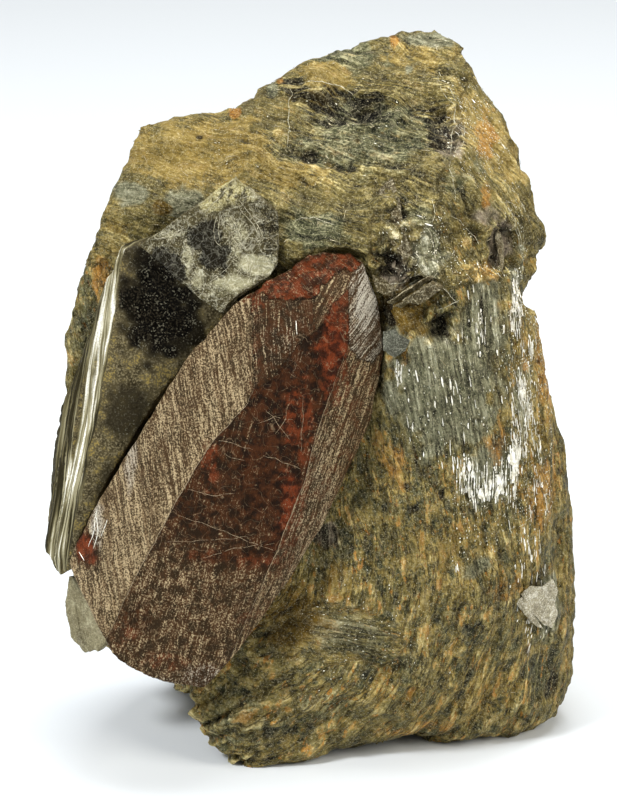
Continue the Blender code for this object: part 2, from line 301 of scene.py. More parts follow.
def remap(tree, value, low, high, to_low=0.0, to_high=1.0):
    inputs = {"Value": value, "From Min": low, "From Max": high, "To Min": to_low, "To Max": to_high}
    return add(tree, "MapRange", inputs, interpolation_type="SMOOTHSTEP").outputs["Result"]


def mix(tree, share, a, b):
    return add(tree, "Mix", {0: share, 2: a, 3: b}).outputs[0]


def mix_colour(tree, share, a, b, blend="MIX"):
    """Two colours mixed; each is three numbers or comes from a node."""
    a, b = ((*colour, 1) if isinstance(colour, tuple) else colour for colour in (a, b))
    return add(tree, "Mix", {0: share, 6: a, 7: b}, data_type="RGBA", blend_type=blend).outputs[2]


def coat(tree, colour, *layers):
    """A colour with layers over it, each given as its share, its own colour and how it blends."""
    for share, over, *blend in layers:
        colour = mix_colour(tree, share, colour, over, *blend)
    return colour


def colour_ramp(tree, value, stops):
    made = add(tree, "ValToRGB", {"Fac": value})
    ramp = made.color_ramp
    while len(ramp.elements) < len(stops):
        ramp.elements.new(0.5)
    for element, (place, colour) in zip(ramp.elements, stops):
        element.position = place
        element.color = (*colour, 1)
    return made.outputs["Color"]


def attribute(tree, name):
    return add(tree, "Attribute", attribute_name=name).outputs["Fac"]


def new_group(name, inputs, outputs):
    """An empty node group with named inputs (with their values) and outputs."""
    tree = bpy.data.node_groups.new(name, "ShaderNodeTree")
    for socket, value in inputs.items():
        made = tree.interface.new_socket(socket, in_out="INPUT", socket_type="NodeSocketFloat")
        made.default_value = value
    for socket, kind in outputs.items():
        tree.interface.new_socket(socket, in_out="OUTPUT", socket_type="NodeSocket" + kind)
    return tree, tree.nodes.new("NodeGroupInput").outputs, tree.nodes.new("NodeGroupOutput").inputs


def millimetres(tree, per_step):
    """Object coordinates counted in steps of so many millimetres."""
    place = add(tree, "TexCoord").outputs["Object"]
    return vector_node(tree, "SCALE", {0: place, "Scale": math_node(tree, "DIVIDE", 1.0 / MM, per_step)})


def pulled_across(tree, given):
    """Object coordinates pulled out across the sheets, so that a pattern comes out thin and long there."""
    across = times(tree, given["Across"], given["Per mm"])
    pull = vector_node(tree, "SCALE", {0: (0.62, 0.48, 0.62), "Scale": across})
    return vector_node(tree, "ADD", {0: millimetres(tree, given["Length"]), 1: pull})


def line_at(tree, field, level, width):
    """A thin line where a field passes a level."""
    away = math_node(tree, "ABSOLUTE", math_node(tree, "SUBTRACT", field, level))
    return remap(tree, away, 0.0, width, 1.0, 0.0)


def make_lines_group():
    """Fine lines where the sheets end, from the attribute that counts millimetres across them."""
    inputs = {"Across": 0.0, "Per mm": 2.0, "Length": 3.0, "Detail": 2.0}
    tree, given, out = new_group("sheet_lines", inputs, {"Lines": "Float", "Hair": "Float"})
    texture = {"Vector": pulled_across(tree, given), "Scale": 1.0, "Detail": given["Detail"]}
    field = add(tree, "TexNoise", texture).outputs["Fac"]
    tree.links.new(remap(tree, field, 0.30, 0.70), out["Lines"])
    tree.links.new(line_at(tree, field, 0.52, 0.035), out["Hair"])


def make_grain_group():
    """Even grain: soft mottles of one size."""
    tree, given, out = new_group("mica_grain", {"Size": 1.0, "Detail": 3.0}, {"Mottle": "Float"})
    place = millimetres(tree, given["Size"])
    texture = {"Vector": place, "Scale": 1.0, "Detail": given["Detail"], "Roughness": 0.62}
    field = add(tree, "TexNoise", texture).outputs["Fac"]
    tree.links.new(remap(tree, field, 0.30, 0.70), out["Mottle"])


def make_flakes_group():
    """Small flat flakes that lie along the sheets, each with a tone and a tint of its own."""
    inputs = {"Across": 0.0, "Per mm": 2.5, "Length": 1.0}
    tree, given, out = new_group("small_flakes", inputs, {"Tone": "Float", "Tint": "Float"})
    cells = add(tree, "TexVoronoi", {"Vector": pulled_across(tree, given), "Scale": 1.0}).outputs["Color"]
    parts = add(tree, "SeparateColor", {0: cells}).outputs
    tree.links.new(parts[0], out["Tone"])
    tree.links.new(parts[1], out["Tint"])


def make_glint_group():
    """Normals that lean a different way on each small scale of mica, so that a few catch the light."""
    tree, given, out = new_group("mica_glints", {"Size": 0.8, "Lean": 0.5}, {"Normal": "Vector"})
    texture = {"Vector": millimetres(tree, given["Size"]), "Scale": 1.0}
    scales = add(tree, "TexVoronoi", texture).outputs["Color"]
    lean = vector_node(tree, "SUBTRACT", {0: scales, 1: (0.5, 0.5, 0.5)})
    lean = vector_node(tree, "SCALE", {0: lean, "Scale": given["Lean"]})
    normal = add(tree, "NewGeometry").outputs["Normal"]
    turned = vector_node(tree, "ADD", {0: normal, 1: lean})
    tree.links.new(vector_node(tree, "NORMALIZE", {0: turned}), out["Normal"])


def make_hair_group():
    """Thin winding lines, as where clear sheets have parted or been scratched."""
    tree, given, out = new_group("hair_lines", {"Size": 3.0, "Width": 0.03, "Detail": 1.0}, {"Hair": "Float"})
    place = millimetres(tree, given["Size"])
    texture = {"Vector": place, "Scale": 1.0, "Detail": given["Detail"], "Distortion": 0.6}
    field = add(tree, "TexNoise", texture).outputs["Fac"]
    tree.links.new(line_at(tree, field, 0.5, given["Width"]), out["Hair"])


def use_group(tree, name, inputs):
    made = tree.nodes.new("ShaderNodeGroup")
    made.node_tree = bpy.data.node_groups[name]
    plug(tree, made, inputs)
    return made.outputs


def sheet_lines(tree, across, per_mm, length, detail):
    inputs = {"Across": across, "Per mm": per_mm, "Length": length, "Detail": detail}
    return use_group(tree, "sheet_lines", inputs)


def grain_of(tree, size, detail):
    return use_group(tree, "mica_grain", {"Size": size, "Detail": detail})["Mottle"]


def hair_of(tree, size, width, detail):
    return use_group(tree, "hair_lines", {"Size": size, "Width": width, "Detail": detail})["Hair"]


def new_material(name):
    material = bpy.data.materials.new(name)
    material.use_nodes = True
    return material, material.node_tree, material.node_tree.nodes["Principled BSDF"]


def bump(tree, height, strength, distance, glints=None):
    """A relief; glints, if any, say how large the scales that lean are and how far they do."""
    inputs = {"Height": height, "Strength": strength, "Distance": distance * MM}
    if glints:
        inputs["Normal"] = use_group(tree, "mica_glints", dict(zip(("Size", "Lean"), glints)))["Normal"]
    return add(tree, "Bump", inputs).outputs["Normal"]


# ---------------------------------------------------------------- finish: the mass


# The colours of the mass, from dark to pale, each with the tone that it stands for
MASS_TONES = {
    "olive": (
        (0.05, (0.014, 0.011, 0.004)), (0.40, (0.088, 0.070, 0.020)), (0.70, (0.210, 0.168, 0.055)),
        (0.98, (0.54, 0.46, 0.20)),
    ),
    "green": ((0.10, (0.010, 0.012, 0.006)), (0.50, (0.074, 0.076, 0.035)), (0.95, (0.36, 0.35, 0.20))),
    "ochre": (
        (0.03, (0.055, 0.036, 0.006)), (0.42, (0.195, 0.137, 0.033)), (0.72, (0.360, 0.275, 0.092)),
        (1.0, (0.70, 0.59, 0.30)),
    ),
    "rust": (
        (0.05, (0.070, 0.026, 0.004)), (0.45, (0.260, 0.120, 0.020)), (0.80, (0.450, 0.245, 0.055)),
        (1.0, (0.70, 0.53, 0.26)),
    ),
    "silver": (
        (0.08, (0.026, 0.026, 0.014)), (0.42, (0.130, 0.128, 0.074)), (0.72, (0.275, 0.272, 0.180)),
        (0.98, (0.78, 0.77, 0.62)),
    ),
}


def mass_patterns(tree):
    """The lines, mottles and masks that the tone and the colour of the mass come from."""
    sheet = attribute(tree, "sheet")
    broad = sheet_lines(tree, sheet, 0.9, 4.0, 4.0)
    small = use_group(tree, "small_flakes", {"Across": sheet, "Per mm": 2.2, "Length": 0.55})
    lined = attribute(tree, "lined")
    return SimpleNamespace(
        broad=broad["Lines"],
        fine=sheet_lines(tree, sheet, 3.6, 1.2, 2.0)["Lines"],
        combed=sheet_lines(tree, sheet, 2.4, 4.5, 3.0)["Lines"],
        hair=hair_of(tree, 0.9, 0.06, 2.0),
        speck=grain_of(tree, 0.20, 1.0),
        grain=grain_of(tree, 0.34, 2.0),
        spots=grain_of(tree, 0.85, 4.0),
        patch=grain_of(tree, 3.0, 5.0),
        cloud=grain_of(tree, 9.0, 3.0),
        flake_tone=small["Tone"],
        flake_tint=small["Tint"],
        # Painted shade: darker in the hollows of the carved surface, paler on its bumps
        relief_shade=attribute(tree, "relief_shade"),
        calm=attribute(tree, "calm"),
        lined=lined,
        cracks=times(tree, broad["Hair"], lined),
        silvery=times(tree, remap(tree, attribute(tree, "silver"), 0.15, 0.60), lined),
    )


def mass_tone(tree, p, lift):
    """How pale the mass is at each point, from 0 to 1, with painted shade in its hollows and painted light on
    its bumps.
    """
    lines = weigh(tree, (p.fine, 0.24), (p.broad, 0.26), (p.grain, 0.08), (p.spots, 0.12), (p.combed, 0.16))
    fuzz = weigh(tree, (p.grain, 0.14), (p.fine, 0.34), (p.combed, 0.42), (p.hair, 0.16), (1.0, -0.06))
    tone = weigh(
        tree, (mix(tree, p.lined, fuzz, lines), 1.0), (p.flake_tone, 0.20), (p.grain, 0.12), (p.patch, 0.26),
        (p.relief_shade, 0.85), (p.cloud, 0.18),
    )
    drawn = weigh(
        tree, (p.combed, 0.56), (p.fine, 0.24), (p.grain, 0.14), (p.patch, 0.22), (p.relief_shade, 0.70),
        (p.cloud, 0.10), (1.0, 0.155),
    )
    tone = mix(tree, p.silvery, tone, drawn)
    # Paler in tone over the listed patches, mostly on the right face and the sides
    tone = weigh(tree, (tone, 1.0), (attribute(tree, "paler_patch"), 0.26), (1.0, lift - 0.36))
    flattened = plus(tree, times(tree, tone, 0.42), 0.20 + 0.6 * lift)
    tone = mix(tree, p.calm, tone, flattened)
    return math_node(tree, "MAXIMUM", tone, 0.0, clamp=True)


def mass_colour(tree, p, tone):
    """The colour of the mass: the tones of each region, with stains, streaks, flecks and painted shade laid
    over.
    """
    tones = {name: colour_ramp(tree, tone, stops) for name, stops in MASS_TONES.items()}

    def ragged_patch(mask, broken):
        """A region's mask with an edge that breaks up along the sheets."""
        rough = weigh(tree, (p.patch, 0.45), (p.broad, 0.35), (p.grain, 0.20))
        rough = times(tree, math_node(tree, "SUBTRACT", rough, 0.5), broken)
        return remap(tree, plus(tree, attribute(tree, mask), rough), 0.18, 0.78)

    ochre = ragged_patch("ochre", 1.1)
    rusty = times(tree, ragged_patch("rust", 0.9), remap(tree, attribute(tree, "rust"), 0.0, 0.2, 0.3, 1.0))
    unsilvered = math_node(tree, "SUBTRACT", p.lined, p.silvery, clamp=True)
    along = weigh(tree, (p.broad, 0.5), (mix(tree, p.lined, p.combed, p.spots), 0.5))
    plain = weigh(tree, (p.calm, -0.7), (p.silvery, -0.5), (p.lined, 0.4), (1.0, 0.6))
    greener = times(tree, remap(tree, along, 0.40, 0.22, 0.0, 0.85), math_node(tree, "MAXIMUM", plain, 0.0))
    mustard = times(tree, remap(tree, p.patch, 0.48, 0.80), unsilvered)
    rustier = times(tree, remap(tree, p.flake_tint, 0.80, 0.90), remap(tree, along, 0.45, 0.75))
    streaks = times(tree, remap(tree, p.flake_tint, 0.16, 0.08), remap(tree, along, 0.60, 0.35))
    streaks = times(tree, streaks, p.lined)
    flecks = times(tree, p.broad, plus(tree, p.patch, times(tree, ochre, 0.16)))
    flecks = times(tree, remap(tree, flecks, 0.62, 0.86, 0.0, 0.7), unsilvered)
    # Painted shade, partly dark mica, in the pits, pockets, seams and under ledges
    sliver_shade = times(tree, ragged_patch("dark", 0.6), remap(tree, p.combed, 0.90, 0.50, 0.55, 1.0))
    return coat(
        tree, tones["olive"],
        (ragged_patch("green", 0.8), tones["green"]),
        (ochre, tones["ochre"]),
        (ragged_patch("silver", 0.7), tones["silver"]),
        (rusty, tones["rust"]),
        (greener, tones["green"]),
        (times(tree, mustard, 0.65), tones["ochre"]),
        (times(tree, rustier, unsilvered), tones["rust"]),
        (times(tree, streaks, 0.85), (0.22, 0.26, 0.20), "MULTIPLY"),
        (flecks, tones["rust"]),
        (ragged_patch("amber", 0.6), mix_colour(tree, tone, (0.020, 0.011, 0.001), (0.175, 0.108, 0.015))),
        (ragged_patch("plum", 0.7), mix_colour(tree, tone, (0.050, 0.036, 0.024), (0.36, 0.30, 0.22))),
        (sliver_shade, (0.085, 0.074, 0.056), "MULTIPLY"),
        (times(tree, p.cracks, 0.85), (0.20, 0.18, 0.14), "MULTIPLY"),
        (weigh(tree, (p.hair, 0.10), (remap(tree, p.speck, 0.88, 1.0), 0.30)), (0.60, 0.55, 0.36)),
    )


def mass_material(name, lift=0.0):
    """Mica seen mostly edge on: lined, mottled and stained by region, with painted shade in its hollows; lift
    makes it paler.
    """
    material, tree, shader = new_material(name)
    p = mass_patterns(tree)
    shine = times(tree, remap(tree, p.fine, 0.55, 0.95), p.silvery)
    height = weigh(
        tree, (p.flake_tone, 0.4), (p.spots, 0.8), (p.fine, 0.30), (p.grain, 0.25), (p.cracks, -0.5)
    )
    plug(tree, shader, {
        "Base Color": mass_colour(tree, p, mass_tone(tree, p, lift)),
        "Roughness": plus(tree, weigh(tree, (shine, -0.22), (p.grain, 0.20)), 0.45),
        "Metallic": times(tree, shine, 0.5),
        "Specular IOR Level": 0.10,
        "Normal": bump(tree, height, 0.9, 0.24, glints=(0.6, 0.6)),
    })
    return material


def glint_material(name, dull, bright):
    """Bare mica that catches the light; where its colours are near white they also paint in highlights."""
    material, tree, shader = new_material(name)
    speck = grain_of(tree, 0.5, 2.0)
    plug(tree, shader, {
        "Base Color": mix_colour(tree, speck, dull, bright),
        "Roughness": 0.28,
        "Metallic": 0.25,
        "Normal": bump(tree, speck, 0.4, 0.10),
    })
    return material


# ---------------------------------------------------------------- finish: the crystals


def red_material():
    """Red-brown biotite: a dark body, with beige lines and specks where its sheets are frayed."""
    material, tree, shader = new_material("red_biotite")
    line = attribute(tree, "line")
    frayed = attribute(tree, "frayed")
    lines = sheet_lines(tree, line, 5.6, 2.0, 2.0)["Lines"]
    broad = sheet_lines(tree, line, 1.6, 6.0, 3.0)["Lines"]
    speck = grain_of(tree, 0.22, 1.5)
    mottle = grain_of(tree, 1.3, 6.0)
    scratch = hair_of(tree, 1.7, 0.012, 1.0)
    brown = mix_colour(tree, remap(tree, mottle, 0.1, 0.9), (0.010, 0.0042, 0.0016), (0.046, 0.0150, 0.0045))
    brick = mix_colour(tree, remap(tree, mottle, 0.2, 0.9), (0.040, 0.0085, 0.0026), (0.140, 0.028, 0.008))
    red = weigh(tree, (attribute(tree, "red"), 1.0), (mottle, 0.45), (speck, 0.25))
    lined = weigh(tree, (lines, 0.58), (broad, 0.16), (speck, 0.56), (1.0, 0.02))
    specked = weigh(tree, (speck, 0.62), (lines, 0.34), (mottle, 0.44))
    cover = mix(tree, attribute(tree, "specked"), lined, specked)
    # Painted shade: less beige in the hollows of the carved surface, more on its ridges
    cover = weigh(tree, (cover, 1.0), (frayed, 0.72), (attribute(tree, "relief_shade"), 0.8))
    cover = remap(tree, cover, 1.00, 1.62)
    pale = remap(tree, weigh(tree, (speck, 0.5), (broad, 0.5)), 0.2, 0.9)
    beige = mix_colour(tree, pale, (0.136, 0.091, 0.047), (0.375, 0.293, 0.170))
    beige = mix_colour(tree, attribute(tree, "lilac"), beige, (0.44, 0.41, 0.34))
    colour = coat(
        tree, brown,
        (remap(tree, red, 0.50, 1.40), brick),
        (times(tree, frayed, 0.8), (0.046, 0.030, 0.013)),
        (cover, beige),
        (times(tree, scratch, 0.26), (0.34, 0.24, 0.14)),
    )
    height = weigh(tree, (lines, 0.7), (speck, 0.25), (broad, 0.4))
    plug(tree, shader, {
        "Base Color": colour,
        "Roughness": remap(tree, cover, 0.0, 1.0, 0.42, 0.60),
        "Specular IOR Level": 0.06,
        "Normal": bump(tree, height, 0.9, 0.20, glints=(0.6, 0.30)),
    })
    return material


# The bright edge of the dark book, from the dark between its sheets to the light that they throw back
LAYERED_TONES = (
    (0.20, (0.022, 0.018, 0.008)), (0.44, (0.120, 0.104, 0.052)), (0.66, (0.36, 0.33, 0.21)),
    (0.86, (0.95, 0.93, 0.84)),
)


def dark_material():
    """The dark book: a black window, a smoky rim, khaki below and a bright edge of parted sheets."""
    material, tree, shader = new_material("dark_biotite")
    bright = attribute(tree, "bright")
    lines = sheet_lines(tree, attribute(tree, "line"), 3.6, 7.0, 3.0)["Lines"]
    speck = grain_of(tree, 0.25, 1.0)
    mottle = grain_of(tree, 1.5, 5.0)
    hair = hair_of(tree, 1.2, 0.05, 2.0)
    pale = weigh(tree, (attribute(tree, "khaki"), 0.7), (mottle, 0.4), (speck, 0.6), (hair, 0.25))
    yellow = times(tree, remap(tree, mottle, 0.55, 0.80), remap(tree, speck, 0.45, 0.85))
    grey = mix_colour(
        tree, weigh(tree, (mottle, 0.7), (speck, 0.5)), (0.013, 0.010, 0.005), (0.120, 0.098, 0.048)
    )
    smoky = coat(
        tree, grey,
        (remap(tree, speck, 0.6, 1.0, 0.0, 0.45), (0.26, 0.225, 0.135)),
        (remap(tree, pale, 0.80, 1.6, 0.0, 0.80), (0.140, 0.118, 0.066)),
        (times(tree, yellow, 0.7), (0.25, 0.18, 0.035)),
    )
    black = mix_colour(tree, remap(tree, speck, 0.35, 0.95), (0.0012, 0.0009, 0.0005), (0.015, 0.012, 0.007))
    # Painted sparkle: pale specks in the black window
    sparkle = times(tree, remap(tree, speck, 0.82, 1.0), remap(tree, mottle, 0.2, 0.9))
    black = mix_colour(tree, sparkle, black, (0.105, 0.100, 0.072))
    window = weigh(tree, (attribute(tree, "window"), 1.0), (mottle, 0.18), (speck, 0.34))
    layered = colour_ramp(tree, weigh(tree, (lines, 0.55), (bright, 0.45)), LAYERED_TONES)
    shine = times(tree, bright, remap(tree, lines, 0.45, 0.8))
    plug(tree, shader, {
        "Base Color": coat(
            tree, smoky, (remap(tree, window, 0.22, 1.20), black), (attribute(tree, "edge_on"), layered)
        ),
        "Metallic": times(tree, shine, 0.5),
        "Roughness": weigh(tree, (speck, 0.25), (shine, -0.1), (1.0, 0.27)),
        "Specular IOR Level": 0.04,
        "Normal": bump(tree, weigh(tree, (lines, 0.5), (speck, 0.35)), 0.5, 0.15, glints=(0.5, 0.25)),
    })
    return material


def clear_material(name, tints, transmission):
    """Clear mica; tints are its smoky, plain, milky and hair-line colours."""
    material, tree, shader = new_material(name)
    smoky, plain, milky, hair_colour = tints
    hair = hair_of(tree, 1.9, 0.030, 1.5)
    fine_hair = hair_of(tree, 1.0, 0.05, 3.0)
    cloud = grain_of(tree, 1.6, 5.0)
    speck = grain_of(tree, 0.20, 1.5)
    milk = weigh(tree, (attribute(tree, "milky"), 1.0), (cloud, 0.65), (speck, 0.35))
    smoke = weigh(tree, (attribute(tree, "smoky"), 1.0), (cloud, -0.25), (speck, -0.30))
    shaded = weigh(tree, (remap(tree, speck, 0.9, 0.1), 0.4), (remap(tree, cloud, 0.9, 0.1), 0.3))
    yellow = mix_colour(tree, speck, (0.20, 0.165, 0.055), (0.56, 0.51, 0.25))
    marks = weigh(tree, (hair, 0.26), (times(tree, fine_hair, milk), 0.34))
    marks = weigh(tree, (marks, 1.0), (remap(tree, speck, 0.84, 1.0), 0.34))
    marks = times(tree, marks, remap(tree, attribute(tree, "smoky"), 0.2, 1.0, 1.0, 0.35))
    colour = coat(
        tree, plain,
        (shaded, smoky),
        (remap(tree, milk, 0.62, 1.75), milky),
        (times(tree, attribute(tree, "amber"), remap(tree, cloud, 0.1, 0.6)), yellow),
        (remap(tree, smoke, 0.0, 0.5), smoky),
        (math_node(tree, "MINIMUM", marks, 1.0), hair_colour),
    )
    plug(tree, shader, {
        "Base Color": colour,
        "Roughness": 0.3,
        "Transmission Weight": transmission,
        "IOR": 1.30,
        "Specular IOR Level": 0.18,
        "Normal": bump(tree, weigh(tree, (hair, 0.2), (cloud, 0.5), (speck, 0.35)), 0.6, 0.16),
    })
    return material


CLEAR_TINTS = [(0.008, 0.006, 0.002), (0.100, 0.083, 0.036), (0.34, 0.320, 0.195), (0.68, 0.66, 0.50)]
CORNER_TINTS = [(0.13, 0.11, 0.06), (0.26, 0.23, 0.13), (0.38, 0.35, 0.22), (0.55, 0.51, 0.34)]
POCKET_TINTS = [(0.014, 0.010, 0.004), (0.100, 0.078, 0.036), (0.30, 0.26, 0.15), (0.66, 0.60, 0.42)]
WINDOW_TINTS = [(0.09, 0.076, 0.044), (0.40, 0.365, 0.255), (0.66, 0.62, 0.48), (0.95, 0.93, 0.84)]
LENS_TINTS = [(0.022, 0.021, 0.013), (0.110, 0.112, 0.084), (0.185, 0.187, 0.145), (0.42, 0.42, 0.33)]


def make_materials():
    make_lines_group()
    make_grain_group()
    make_flakes_group()
    make_glint_group()
    make_hair_group()
    return {
        "mass": mass_material("mass_mica"),
        "flakes": mass_material("mass_flakes", lift=0.04),
        # Near-white slips and scales that paint in glints, glare and sparkle
        "glints": glint_material("painted_glint_mica", (0.55, 0.52, 0.40), (0.97, 0.96, 0.90)),
        # Beige threads: the scratches, and the painted light along the red crystal's ridges
        "red_threads": glint_material("frayed_threads", (0.15, 0.10, 0.055), (0.42, 0.33, 0.21)),
        "hairs": glint_material("felted_hairs", (0.16, 0.13, 0.065), (0.38, 0.33, 0.20)),
        "sparkle_highlights": glint_material("painted_sparkle_mica", (0.40, 0.38, 0.27), (0.80, 0.79, 0.66)),
        "threads": glint_material("pale_threads", (0.20, 0.18, 0.11), (0.60, 0.57, 0.42)),
        "red": red_material(),
        "dark": dark_material(),
        "clear": clear_material("clear_mica", CLEAR_TINTS, 0.20),
        "corner": clear_material("corner_mica", CORNER_TINTS, 0.20),
        "window": clear_material("window_mica", WINDOW_TINTS, 0.10),
        "lens": clear_material("lens_mica", LENS_TINTS, 0.10),
        "pocket": clear_material("pocket_mica", POCKET_TINTS, 0.10),
    }


# ---------------------------------------------------------------- the mass of mica books

